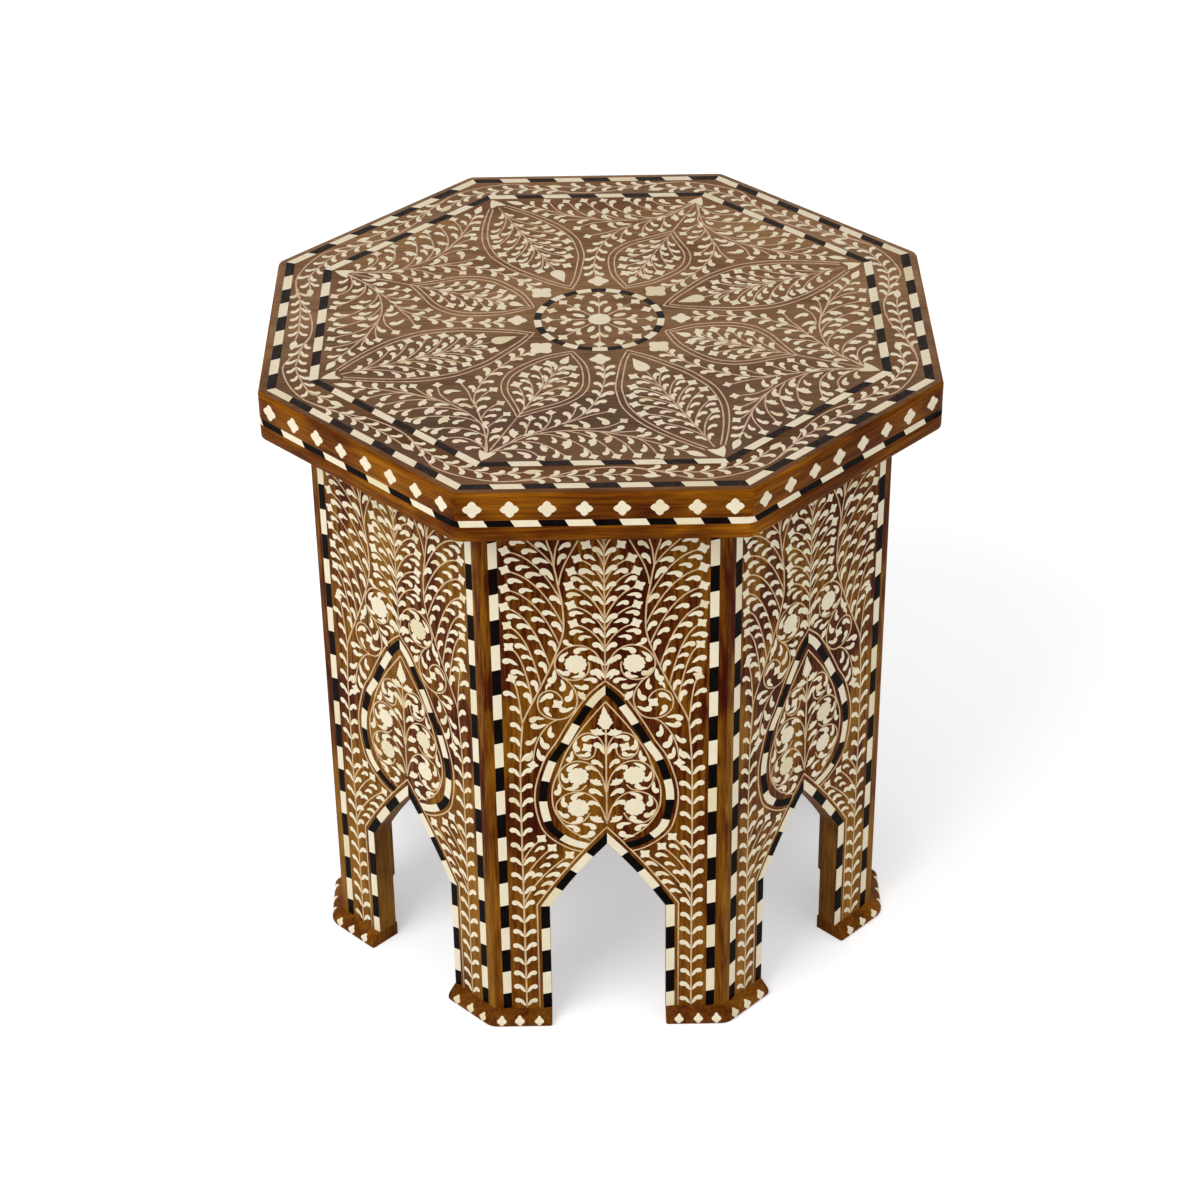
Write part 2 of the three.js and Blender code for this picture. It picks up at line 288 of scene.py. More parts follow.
# two tones in streaks: a tone is the noise's value and the colour there
def makeStreaked(name, roughness, sheen, scale, detail, rough, *tones):
    material, nodes, links, shader = newMaterial(name, roughness, sheen)
    streak = noise(nodes, links, mapped(nodes, links, scale), detail, rough)
    links.new(ramp(nodes, links, streak, tones), shader.inputs["Base Color"])
    return material


def makeEbony(name, low, high):
    return makeStreaked(name, 0.4, 0.02, (300, 300, 120), 4, 0.6, (0.4, low), (0.62, high))


def makeStemWood(name, low, high):
    return makeStreaked(name, 0.45, 0.1, (160, 160, 160), 3, 0.6, (0.38, low), (0.62, high))


# the second panel wood is the paler copy with painted reflection, laid on every second side
panelWoods = [makeWood(panelWoodLook), makeWood(sheenPanelLook, shift=2)]
footWood = makeWood(footWoodLook, shift=3)
fieldWood = makeWood(fieldWoodLook)
innerWood = makeWood(innerWoodLook, shift=5)
railWoods = [makeWood(dict(railWoodLook, name=f"railWood{k + 1}"), k * sideTurn, k * 1.7)
             for k in range(sideCount)]
sideBone = makeBone("sideBone", paint(241, 229, 199), paint(228, 213, 171), paint(222, 203, 163))
topBone = makeBone("topBone", paint(223, 208, 180), paint(209, 192, 152), paint(199, 180, 144))
sideEbony = makeEbony("sideEbony", paint(4, 2, 1), paint(12, 8, 6))
# painted reflection: the ebony of the top is a lighter copy of the side ebony, for the sheen on the top
sheenTopEbony = makeEbony("sheenTopEbony", paint(30, 24, 22), paint(46, 39, 35))
sideStemWood = makeStemWood("sideStemWood", paint(203, 167, 123), paint(222, 193, 148))
topStemWood = makeStemWood("topStemWood", paint(184, 151, 123), paint(206, 177, 149))
# dark glue round every piece, partly painted shade at its edge
glueAndShadeLine = makeStreaked("glueAndShadeLine", 0.6, 0.1, (700, 700, 700), 2, 0.5,
                        (0.4, paint(34, 18, 12)), (0.6, paint(58, 32, 20)))
screwSteel = makeStreaked("screwSteel", 0.35, 0.1, (900, 900, 200), 3, 0.6,
                          (0.4, paint(120, 118, 114)), (0.6, paint(168, 166, 160)))
screwSteel.node_tree.nodes["Principled BSDF"].inputs["Metallic"].default_value = 1
print("materials ready")


# Working on one object at a time

def selectOnly(piece):
    for other in bpy.context.selected_objects:
        other.select_set(False)
    piece.select_set(True)
    bpy.context.view_layer.objects.active = piece


def newPiece(name, mesh, slot, *materials):
    piece = bpy.data.objects.new(name, mesh)
    bpy.context.scene.collection.objects.link(piece)
    piece.data.materials.clear()
    for material in materials:
        piece.data.materials.append(material)
    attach(piece, "root")
    return piece


# The wooden parts: merged copies of the frame's solids, worked on with their side to the front

woodEdges = {
    "mitreReach": 0.4,      # a corner as near as this to its mitre is closed against the next piece
    "sharp": 32, "smoothBelow": 34,     # degrees
    "panelCorner": 4.0, "cornerSteps": 3,
    "archArris": 0.4, "archSlack": 0.1, "footEnd": 1.5, "railArris": 0.25, "boardArris": 0.2,
    "upward": 0.9,          # a face whose normal rises more than this is an upper one
}


def onMitre(point):
    return abs(abs(point.x) + point.y * halfSide) < touch * mm


# a place at the arch's opening and further out than a given apothem
def byArch(place, apothem):
    return abs(place.x) < (archHalf + woodEdges["archSlack"]) * mm and place.y < -apothem * mm


def cutAcross(cage, place, normal):
    bmesh.ops.bisect_plane(cage, geom=cage.verts[:] + cage.edges[:] + cage.faces[:], dist=touch / 10 * mm,
                           plane_co=place, plane_no=normal)


def closeMitres(cage):
    for vertex in cage.verts:
        seam = -vertex.co.y * halfSide
        if abs(abs(vertex.co.x) - seam) < woodEdges["mitreReach"] * mm:
            vertex.co.x = math.copysign(seam, vertex.co.x)


def soften(cage, width, steps, test):
    sharp = math.radians(woodEdges["sharp"])
    chosen = [edge for edge in cage.edges
              if edge.calc_face_angle(0) > sharp and all(test(vertex.co) for vertex in edge.verts)]
    bmesh.ops.bevel(cage, geom=chosen, offset=width * mm, segments=steps, profile=0.5, affect="EDGES")


def shapePanel(cage):
    closeMitres(cage)
    radius, steps = woodEdges["panelCorner"], woodEdges["cornerSteps"]
    start = panelHalf - radius * halfSide
    for side in (1, -1):
        for step in range(steps):
            x = side * (start + radius * math.sin(sideTurn / 2 * step / steps))
            cutAcross(cage, (x * mm, 0, 0), (1, 0, 0))
    for vertex in cage.verts:
        across, out = abs(vertex.co.x) / mm, -vertex.co.y / mm
        if across > start - touch / 10 and out > baseApothem - touch:
            turn = sideTurn / 2 if across > panelHalf - touch else math.asin((across - start) / radius)
            vertex.co.x = math.copysign((start + radius * math.sin(turn)) * mm, vertex.co.x)
            vertex.co.y = -(baseApothem - radius + radius * math.cos(turn)) * mm
    soften(cage, woodEdges["archArris"], 2, lambda place: byArch(place, baseApothem - touch))


def shapeFoot(cage):
    closeMitres(cage)
    soften(cage, woodEdges["footEnd"], 3, lambda place: byArch(place, baseApothem + touch))


def shapeRail(cage):
    closeMitres(cage)
    soften(cage, woodEdges["railArris"], 2, lambda place: not onMitre(place))


def shapeBoard(cage):
    soften(cage, woodEdges["boardArris"], 2, lambda place: True)


def woodCopy(node, name, slot, number, shapeIt, *materials):
    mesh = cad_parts[node].data.copy()
    mesh.name = name
    piece = newPiece(name, mesh, slot, *materials)
    turn = Matrix.Rotation(number * sideTurn, 4, "Z")
    mesh.transform(turn.inverted())
    selectOnly(piece)
    bpy.ops.object.mode_set(mode="EDIT")
    bpy.ops.mesh.select_all(action="SELECT")
    bpy.ops.mesh.remove_doubles(threshold=touch * mm)
    bpy.ops.mesh.dissolve_limited(angle_limit=math.radians(1))
    cage = bmesh.from_edit_mesh(mesh)
    shapeIt(cage)
    bmesh.update_edit_mesh(mesh)
    bpy.ops.object.mode_set(mode="OBJECT")
    mesh.transform(turn)
    bpy.ops.object.shade_smooth_by_angle(angle=math.radians(woodEdges["smoothBelow"]))
    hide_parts(node)
    return piece


# lowers a part's upper face, so that the inlay ends at the height of the frame
def sinkTop(piece):
    for vertex in piece.data.vertices:
        if vertex.co.z > (topHeight - 2 * touch) * mm:
            vertex.co.z -= inlay["proud"] * mm


for k in range(sideCount):
    woodCopy(f"side_panel_{k + 1}", f"panel_{k + 1}", "panel_wood", k, shapePanel, panelWoods[k % 2])
    for hand in ("right", "left"):
        woodCopy(f"foot_moulding_{hand}_{k + 1}", f"foot_{hand}_{k + 1}", "foot_wood", k, shapeFoot, footWood)
    rail = woodCopy(f"top_edge_rail_{k + 1}", f"edge_rail_{k + 1}", "edge_wood", k, shapeRail,
                    railWoods[k], fieldWood)
    sinkTop(rail)
    inward = 1 - inlay["proud"] / topApothem
    rail.data.transform(Matrix.Diagonal((inward, inward, 1, 1)))
    for face in rail.data.polygons:
        upper = face.normal.z > woodEdges["upward"] and face.center.z > railBottom * mm
        face.material_index = 1 if upper else 0
board = woodCopy("top_board", "field_board", "field_wood", 0, shapeBoard, fieldWood)
sinkTop(board)
for name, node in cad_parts.items():
    if name.startswith(("corner_post", "head_cleat")):
        node.data.materials.clear()
        node.data.materials.append(innerWood)
    elif name.startswith("cleat_screw"):
        node.data.materials.clear()
        node.data.materials.append(screwSteel)
print("wood ready")


# Ornament masters: each is modelled once, flat in XY with its root at the origin

masters = {}


def startShape(name, corners, radius=1.0):
    bpy.ops.mesh.primitive_circle_add(vertices=corners, radius=radius * mm, fill_type="NGON",
                                      location=(0, 0, 0))
    piece = bpy.context.object
    piece.name = "master_" + name
    selectOnly(piece)
    bpy.ops.object.mode_set(mode="EDIT")
    bpy.ops.mesh.select_mode(type="VERT")
    return piece


def pickCorners(piece, test):
    cage = bmesh.from_edit_mesh(piece.data)
    for vertex in cage.verts:
        vertex.select = bool(test(vertex.co.x / mm, vertex.co.y / mm))
    cage.select_flush_mode()
    bmesh.update_edit_mesh(piece.data)


# picks the corners that lie on evenly spaced spokes, the first one a number of steps on
def pickSpokes(piece, count, first=0.0):
    ways = [math.tau * (i + first) / count for i in range(count)]
    pickCorners(piece, lambda x, y: any(abs(math.remainder(math.atan2(y, x) - way, math.tau)) < 0.05
                                        for way in ways))


# the outline moved outwards all round, its sharp corners cut short
def outset(points, distance):
    rolled = [*zip(points[-1:] + points[:-1], points, points[1:] + points[:1])]
    hand = math.copysign(1, sum(a[0] * b[1] - b[0] * a[1] for a, b, _ in rolled))
    moved = []
    for before, here, after in rolled:
        lengthIn, lengthOut = math.dist(before, here), math.dist(here, after)
        x = (here[1] - before[1]) / lengthIn + (after[1] - here[1]) / lengthOut
        y = -(here[0] - before[0]) / lengthIn - (after[0] - here[0]) / lengthOut
        grow = hand * distance * min(2 / (x * x + y * y), 2.2 / math.hypot(x, y))
        moved.append((here[0] + x * grow, here[1] + y * grow))
    return moved


def pushDown(distance):
    bpy.ops.mesh.extrude_region_move(TRANSFORM_OT_translate={"value": (0, 0, -distance * mm)})


# thickens the flat outline, with a dark slope of glue, partly painted shade, round its upper face, and keeps it
# as a master
def finishShape(piece, name, root=0.0, mirroredToo=False):
    bpy.ops.mesh.select_all(action="SELECT")
    bpy.ops.transform.translate(value=(-root * mm, 0, inlay["proud"] * mm))
    pushDown(inlay["proud"] + inlay["glueAndShadeDrop"])
    cage = bmesh.from_edit_mesh(piece.data)
    lower = next(face for face in cage.faces if face.select)
    wide = outset([tuple(vertex.co.xy / mm) for vertex in lower.verts], inlay["glueAndShade"])
    for vertex, (x, y) in zip(lower.verts, wide):
        vertex.co.x, vertex.co.y = x * mm, y * mm
    bmesh.update_edit_mesh(piece.data)
    pushDown(inlay["deep"] - inlay["glueAndShadeDrop"])
    bpy.ops.mesh.select_all(action="SELECT")
    bpy.ops.mesh.normals_make_consistent(inside=False)
    bpy.ops.object.mode_set(mode="OBJECT")
    for face in piece.data.polygons:
        face.material_index = 0 if face.normal.z > inlay["flatNormal"] else 1
    bpy.context.scene.collection.objects.unlink(piece)
    masters[name, 1] = piece.data
    if mirroredToo:
        mesh = piece.data.copy()
        mesh.transform(Matrix.Diagonal((1, -1, 1, 1)))
        mesh.flip_normals()
        masters[name, -1] = mesh


# outlines traced from the work, tail at the origin and lying along +X
tracedShapes = {
    "leaf": [(0, 0), (1.3, -0.35), (2.9, -0.3), (4.4, 0.0), (5.5, -0.1), (6.1, -1.1), (7.3, -1.85),
             (8.6, -1.8), (9.6, -1.0), (9.95, 0.2), (9.5, 1.35), (8.3, 2.15), (6.6, 2.5), (4.7, 2.35),
             (2.9, 1.7), (1.2, 0.75)],
    "trefoil": [(0, 0), (2.2, -1.5), (3.0, -3.3), (4.4, -2.7), (5.4, -3.9), (6.6, -2.5), (9.6, -1.9),
                (8.4, 0.1), (6.0, 1.2), (3.0, 1.2)],
    "cypress": [(0, -1.9), (1.5, -2.4), (4.6, -4.9), (5.6, -4.1), (7.6, -4.0), (8.4, -3.1), (10.6, -2.8),
                (11.6, -1.9), (14.6, -1.1), (17.6, 0), (14.6, 1.1), (11.6, 1.9), (10.6, 2.8), (8.4, 3.1),
                (7.6, 4.0), (5.6, 4.1), (4.6, 4.9), (1.5, 2.4), (0, 1.9)],
    "bell": [(0, 0), (3.5, -2.5), (7.5, -4.5), (11.5, -5.8), (13.2, -6.0), (12.0, -3.2), (10.6, 0),
             (12.0, 3.2), (13.2, 6.0), (11.5, 5.8), (7.5, 4.5), (3.5, 2.5)],
    "drop": [(0, 0), (0.5, -2.2), (2.0, -4.1), (4.5, -5.1), (7.5, -4.8), (11, -3.5), (15, -1.7), (19, 0),
             (15, 1.7), (11, 3.5), (7.5, 4.8), (4.5, 5.1), (2.0, 4.1), (0.5, 2.2)],
    "lance": [(0, 0), (1.4, -1.1), (3.4, -2.1), (5.4, -2.3), (8.0, -1.7), (12, 0), (8.0, 1.7), (5.4, 2.3),
              (3.4, 2.1), (1.4, 1.1)],
}
shapeLengths = {name: max(x for x, _ in points) for name, points in tracedShapes.items()}
for name, points in tracedShapes.items():
    traced = startShape(name, len(points))
    cage = bmesh.from_edit_mesh(traced.data)
    for vertex, (x, y) in zip(cage.verts, points):
        vertex.co = (x * mm, y * mm, 0)
    bmesh.update_edit_mesh(traced.data)
    finishShape(traced, name, mirroredToo=name in ("leaf", "trefoil"))

# four-pointed star with hollow sides, one point towards -X where its stem comes in
starShape = {"points": 4, "reach": 5.2, "waistShare": 0.57, "flankShare": 0.75, "rootShare": 0.9}
starRoot = starShape["reach"] * starShape["rootShare"]
star = startShape("star", starShape["points"] * 4, starShape["reach"])
for first, share in ((0.5, "waistShare"), (0.25, "flankShare"), (0.75, "flankShare")):
    pickSpokes(star, starShape["points"], first)
    bpy.ops.transform.resize(value=(starShape[share], starShape[share], 1), center_override=(0, 0, 0))
finishShape(star, "star", -starRoot)

# rosette with a scalloped rim
rosetteShape = {"lobes": 12, "radius": 6.9, "notchShare": 0.9}
rosette = startShape("rosette", rosetteShape["lobes"] * 3, rosetteShape["radius"])
pickSpokes(rosette, rosetteShape["lobes"])
bpy.ops.transform.resize(value=(rosetteShape["notchShare"],) * 2 + (1,), center_override=(0, 0, 0))
finishShape(rosette, "rosette")

# plain oval, centred
ovalShape = {"corners": 12, "halfWide": 2.0, "stretch": 2.2}
oval = startShape("oval", ovalShape["corners"], ovalShape["halfWide"])
bpy.ops.mesh.select_all(action="SELECT")
bpy.ops.transform.resize(value=(ovalShape["stretch"], 1, 1))
finishShape(oval, "oval")

# disc, centred
discShape = {"corners": 28, "radius": 7.5}
disc = startShape("disc", discShape["corners"], discShape["radius"])
finishShape(disc, "disc")

# diamond of the edge: a square on its corner with a nick in the middle of each side
diamondShape = {"reach": 5.85, "shares": (0.97, 0.87, 0.755, 0.64, 0.755, 0.87)}
diamondCorners = 4 * len(diamondShape["shares"])
diamond = startShape("diamond", diamondCorners, diamondShape["reach"])
cage = bmesh.from_edit_mesh(diamond.data)
for vertex in cage.verts:
    step = round(math.atan2(vertex.co.y, vertex.co.x) / math.tau * diamondCorners)
    vertex.co *= diamondShape["shares"][step % len(diamondShape["shares"])]
bmesh.update_edit_mesh(diamond.data)
finishShape(diamond, "diamond")
print("ornaments ready:", len(masters))


# Flat lines, as lists of points in millimetres

lineSteps = 4           # points from one drawn place to the next


def turnedPoint(x, y, angle):
    c, s = math.cos(angle), math.sin(angle)
    return (x * c - y * s, x * s + y * c)


def spoke(reach, way):
    return (reach * math.cos(way), reach * math.sin(way))


def quadratic(start, control, end, steps):
    return [tuple((1 - t) ** 2 * a + 2 * t * (1 - t) * b + t * t * c for a, b, c in zip(start, control, end))
            for t in (i / steps for i in range(steps + 1))]


def smoothLine(points, steps=lineSteps):
    ends = [points[0], *points, points[-1]]
    line = []
    for p, q, r, s in zip(ends, ends[1:], ends[2:], ends[3:]):
        for i in range(steps):
            t = i / steps
            line.append(tuple(0.5 * (2 * b + (c - a) * t + (2 * a - 5 * b + 4 * c - d) * t ** 2
                                     + (3 * b - a - 3 * c + d) * t ** 3)
                              for a, b, c, d in zip(p, q, r, s)))
    return [*line, points[-1]]


# a branch that leaves its root steeply and bows over to its tip
def bowedLine(root, tip, acrossShare, upShare, steps=10):
    (x0, y0), (x2, y2) = root, tip
    return quadratic(root, (x0 + (x2 - x0) * acrossShare, y0 + (y2 - y0) * upShare), tip, steps)


def lineLength(line):
    return sum(math.dist(a, b) for a, b in zip(line, line[1:]))


# the point at a distance along a line, and the way the line runs there
def pointAt(line, distance):
    for a, b in zip(line, line[1:]):
        step = math.dist(a, b)
        if step > 0 and distance <= step:
            break
        distance -= step
    share = distance / step if step else 0
    return (a[0] + (b[0] - a[0]) * share, a[1] + (b[1] - a[1]) * share,
            math.atan2(b[1] - a[1], b[0] - a[0]))


# how far along a rising line a height is reached
def runTo(line, height):
    run = 0
    for a, b in zip(line, line[1:]):
        if a[1] <= height <= b[1]:
            return run + math.dist(a, b) * (height - a[1]) / (b[1] - a[1])
        run += math.dist(a, b)
    return run


def atHeight(line, height):
    return pointAt(line, runTo(line, height))[:2]


def shifted(line, sideways):
    moved = []
    for i, (x, y) in enumerate(line):
        before, after = line[max(i - 1, 0)], line[min(i + 1, len(line) - 1)]
        turn = math.atan2(after[1] - before[1], after[0] - before[0])
        moved.append((x - sideways * math.sin(turn), y + sideways * math.cos(turn)))
    return moved


def lengthened(line, before, after):
    (ax, ay), (bx, by), (cx, cy), (dx, dy) = line[0], line[1], line[-2], line[-1]
    first, last = before / math.dist(line[0], line[1]), after / math.dist(line[-2], line[-1])
    return [(ax + (ax - bx) * first, ay + (ay - by) * first), *line[1:-1],
            (dx + (dx - cx) * last, dy + (dy - cy) * last)]


# A drawing holds stems, as (line, width), and motifs, as (shape, x, y, angle, size, hand)

def newDrawing():
    return {"stems": [], "motifs": []}


def mirrored(drawing):
    return {
        "stems": [([(-x, y) for x, y in line], wide) for line, wide in drawing["stems"]],
        "motifs": [(shape, -x, y, math.pi - angle, size, -hand)
                   for shape, x, y, angle, size, hand in drawing["motifs"]],
    }


def turned(drawing, angle):
    return {
        "stems": [([turnedPoint(x, y, angle) for x, y in line], wide) for line, wide in drawing["stems"]],
        "motifs": [(shape, *turnedPoint(x, y, angle), way + angle, size, hand)
                   for shape, x, y, way, size, hand in drawing["motifs"]],
    }


def addDrawing(drawing, other):
    drawing["stems"] += other["stems"]
    drawing["motifs"] += other["motifs"]


def addStem(drawing, line, kind="thin"):
    drawing["stems"].append((line, stemWidths[kind]))
    return line


# a leaf on one side of a line, its spread in degrees from the way the line runs
def addLeaf(drawing, line, distance, side, spread, size):
    x, y, way = pointAt(line, distance)
    x, y = x + side * inlay["leafGap"] * math.sin(way), y - side * inlay["leafGap"] * math.cos(way)
    drawing["motifs"].append(("leaf", x, y, way - side * math.radians(spread), size, side))


def addLeaves(drawing, line, first, every, side, spread, size, stop):
    distance = first
    while distance < lineLength(line) - stop:
        addLeaf(drawing, line, distance, side, spread, size)
        distance += every


# single pieces given by tail and head, each table for one hand
def addPlaced(drawing, tables, scale=1.0):
    for (shape, hand), places in tables.items():
        for place in places:
            x, y, headX, headY = (value * scale for value in place)
            size = math.dist((x, y), (headX, headY)) / shapeLengths[shape]
            drawing["motifs"].append((shape, x, y, math.atan2(headY - y, headX - x), size, hand))


# a star at the end of a stem
def addStar(drawing, line, size=inlay["flower"]):
    (ax, ay), (bx, by) = line[-2], line[-1]
    drawing["motifs"].append(("star", bx, by, math.atan2(by - ay, bx - ax), size, 1))


# a star given by its middle
def addCentredStar(drawing, x, y, way, size=inlay["flower"]):
    backX, backY = spoke(starRoot * size, way)
    drawing["motifs"].append(("star", x - backX, y - backY, way, size, 1))


# a star with the branch that carries it, which ends a little off the star's middle
def addFlower(drawing, root, x, y, tip, bow, size=inlay["flower"]):
    branch = addStem(drawing, bowedLine(root, (x + tip[0], y + tip[1]), *bow))
    addStar(drawing, branch, size)


# Checker strings: slanted blocks of bone and ebony along a line

def addChecker(blocks, line, wide, lengths, boneFirst, slant=0.0, stepLength=inlay["blockStep"]):
    along, bone = 0.0, boneFirst
    gap = inlay["joint"] / 2
    for length in lengths:
        steps = max(1, round(length / stepLength)) if len(line) > 2 else 1
        outline = []
        for side in (1, -1):
            lean = side * slant / 2
            start, stop = along + gap + lean, along + length - gap + lean
            edge = []
            for i in range(steps + 1):
                distance = min(max(start + (stop - start) * i / steps, 0), lineLength(line))
                x, y, way = pointAt(line, distance)
                edge.append((x - side * wide / 2 * math.sin(way), y + side * wide / 2 * math.cos(way)))
            outline += edge if side == 1 else edge[::-1]
        blocks.append((outline, bone))
        along += length
        bone = not bone


# keeps the part of an outline that lies behind a line, for mitres
def trimmed(outline, normal, limit):
    kept = []
    for a, b in zip(outline, outline[1:] + outline[:1]):
        overA, overB = (p[0] * normal[0] + p[1] * normal[1] - limit for p in (a, b))
        if overA <= 0:
            kept.append(a)
        if (overA < 0) != (overB < 0) and overA != overB:
            share = overA / (overA - overB)
            kept.append((a[0] + (b[0] - a[0]) * share, a[1] + (b[1] - a[1]) * share))
    return kept


def trimBlocks(blocks, normal, limit):
    cut = [(trimmed(outline, normal, limit), bone) for outline, bone in blocks]
    return [(outline, bone) for outline, bone in cut if len(outline) > 2]


# blocks of equal length along a line, their ends cut to mitres
def addMitred(blocks, line, wide, count, boneFirst, trims, slant=0.0):
    spare = inlay["mitreSpare"]
    lengths = [lineLength(line) / count] * count
    lengths[0] += spare
    lengths[-1] += spare
    own = []
    addChecker(own, lengthened(line, spare, spare), wide, lengths, boneFirst, slant)
    for normal, limit in trims:
        own = trimBlocks(own, normal, limit)
    blocks += own


def blockMesh(name, outlines, dice):
    cage = bmesh.new()
    tone = cage.faces.layers.float.new("tone")
    for outline in outlines:
        shade = dice.random()
        outline = [p for p, q in zip(outline, outline[1:] + outline[:1]) if math.dist(p, q) > touch / 10]
        wide = outset(outline, inlay["blockGlueAndShade"])
        rings = [[cage.verts.new((x * mm, y * mm, z * mm)) for x, y in points] for points, z in
                 ((outline, inlay["proud"]), (wide, -inlay["glueAndShadeDrop"]), (wide, -inlay["deep"]))]
        upper = cage.faces.new(rings[0])
        solid = [upper, cage.faces.new(rings[2])]
        for above, below in zip(rings, rings[1:]):
            for a, b, c, d in zip(above, below, below[1:] + below[:1], above[1:] + above[:1]):
                solid.append(cage.faces.new((a, b, c, d)))
        for face in solid:
            face[tone] = shade
            face.material_index = 0 if face == upper else 1
    bmesh.ops.recalc_face_normals(cage, faces=cage.faces)
    mesh = bpy.data.meshes.new(name)
    cage.to_mesh(mesh)
    cage.free()
    return mesh


# Stems: thin strips with a flat top and a dark slope on either hand, glue that is partly painted shade

stripShape = {
    "wide": 1.0, "deep": 0.9, "glueAndShade": 0.55, "glueAndShadeDrop": 0.1,
    # strips lie at a few heights by turns, so that two that cross never share a face
    "rise": 0.7, "riseSpread": 0.35, "riseSteps": 7,
    "merge": 0.004, "flatNormal": 0.985,
}


def stripProfile():
    half, drop = stripShape["wide"] / 2, stripShape["glueAndShadeDrop"]
    foot = half + stripShape["glueAndShade"]
    outline = [(-foot, -stripShape["deep"]), (foot, -stripShape["deep"]), (foot, -drop), (half, 0),
               (-half, 0), (-foot, -drop)]
    curve = bpy.data.curves.new("stripProfile", "CURVE")
    curve.dimensions = "2D"
    spline = curve.splines.new("POLY")
    spline.points.add(len(outline) - 1)
    spline.use_cyclic_u = True
    for point, (x, y) in zip(spline.points, outline):
        point.co = (x * mm, y * mm, 0, 1)
    piece = bpy.data.objects.new("stripProfile", curve)
    bpy.context.scene.collection.objects.link(piece)
    return piece


profile = stripProfile()


def stemMesh(name, stems):
    curve = bpy.data.curves.new(name, "CURVE")
    curve.dimensions, curve.twist_mode = "3D", "Z_UP"
    curve.bevel_mode, curve.bevel_object, curve.use_fill_caps = "OBJECT", profile, True
    steps = stripShape["riseSteps"]
    for number, (line, wide) in enumerate(stems):
        spline = curve.splines.new("POLY")
        spline.points.add(len(line) - 1)
        height = inlay["proud"] * (stripShape["rise"] - stripShape["riseSpread"] * (number % steps) / steps)
        for point, (x, y) in zip(spline.points, line):
            point.co = (x * mm, y * mm, height * mm, 1)
            point.radius = wide / stripShape["wide"]
    piece = bpy.data.objects.new(name, curve)
    bpy.context.scene.collection.objects.link(piece)
    selectOnly(piece)
    bpy.ops.object.convert(target="MESH")
    bpy.ops.object.mode_set(mode="EDIT")
    bpy.ops.mesh.select_all(action="SELECT")
    bpy.ops.mesh.remove_doubles(threshold=stripShape["merge"] * mm)
    bpy.ops.mesh.normals_make_consistent(inside=False)
    bpy.ops.object.mode_set(mode="OBJECT")
    mesh = bpy.context.object.data
    bpy.data.objects.remove(bpy.context.object)
    for face in mesh.polygons:
        face.material_index = 0 if face.normal.z > stripShape["flatNormal"] else 1
    return mesh


# copies the masters to their places on a face, each a little turned and sized by hand
def layMotifs(name, drawing, face, dice, bone, slot):
    points, faces, tones, skins = [], [], [], []
    for shape, x, y, angle, size, hand in drawing["motifs"]:
        master = masters.get((shape, hand)) or masters[shape, 1]
        drift = [dice.uniform(-1, 1) * inlay["placeJitter"] for _ in range(2)]
        spin = angle + math.radians(dice.uniform(-1, 1) * inlay["turnJitter"])
        grow = size * (1 + dice.uniform(-1, 1) * inlay["sizeJitter"])
        sunk = dice.random() * inlay["sunk"]        # overlapping pieces never share a face
        place = (face @ Matrix.Translation(((x + drift[0]) * mm, (y + drift[1]) * mm, -sunk * mm))
                 @ Matrix.Rotation(spin, 4, "Z") @ Matrix.Diagonal((grow, grow, 1, 1)))
        first, tone = len(points), dice.random()
        points += [place @ vertex.co for vertex in master.vertices]
        for polygon in master.polygons:
            faces.append([first + i for i in polygon.vertices])
            tones.append(tone)
            skins.append(polygon.material_index)
    mesh = bpy.data.meshes.new(name)
    mesh.from_pydata(points, [], faces)
    mesh.attributes.new("tone", "FLOAT", "FACE").data.foreach_set("value", tones)
    mesh.polygons.foreach_set("material_index", skins)
    return newPiece(name, mesh, slot, bone, glueAndShadeLine)


def layMesh(name, mesh, face, slot, *materials):
    copy = mesh.copy()
    copy.transform(face)
    return newPiece(name, copy, slot, *materials)


def faceOfSide(number, apothem):
    turn = Matrix.Rotation(number * sideTurn, 4, "Z")
    upright = Matrix(((1, 0, 0, 0), (0, 0, -1, -apothem * mm), (0, 1, 0, lift * mm), (0, 0, 0, 1)))
    return turn @ upright


topFace = Matrix.Translation((0, 0, (topHeight - inlay["proud"]) * mm))


# The side panels

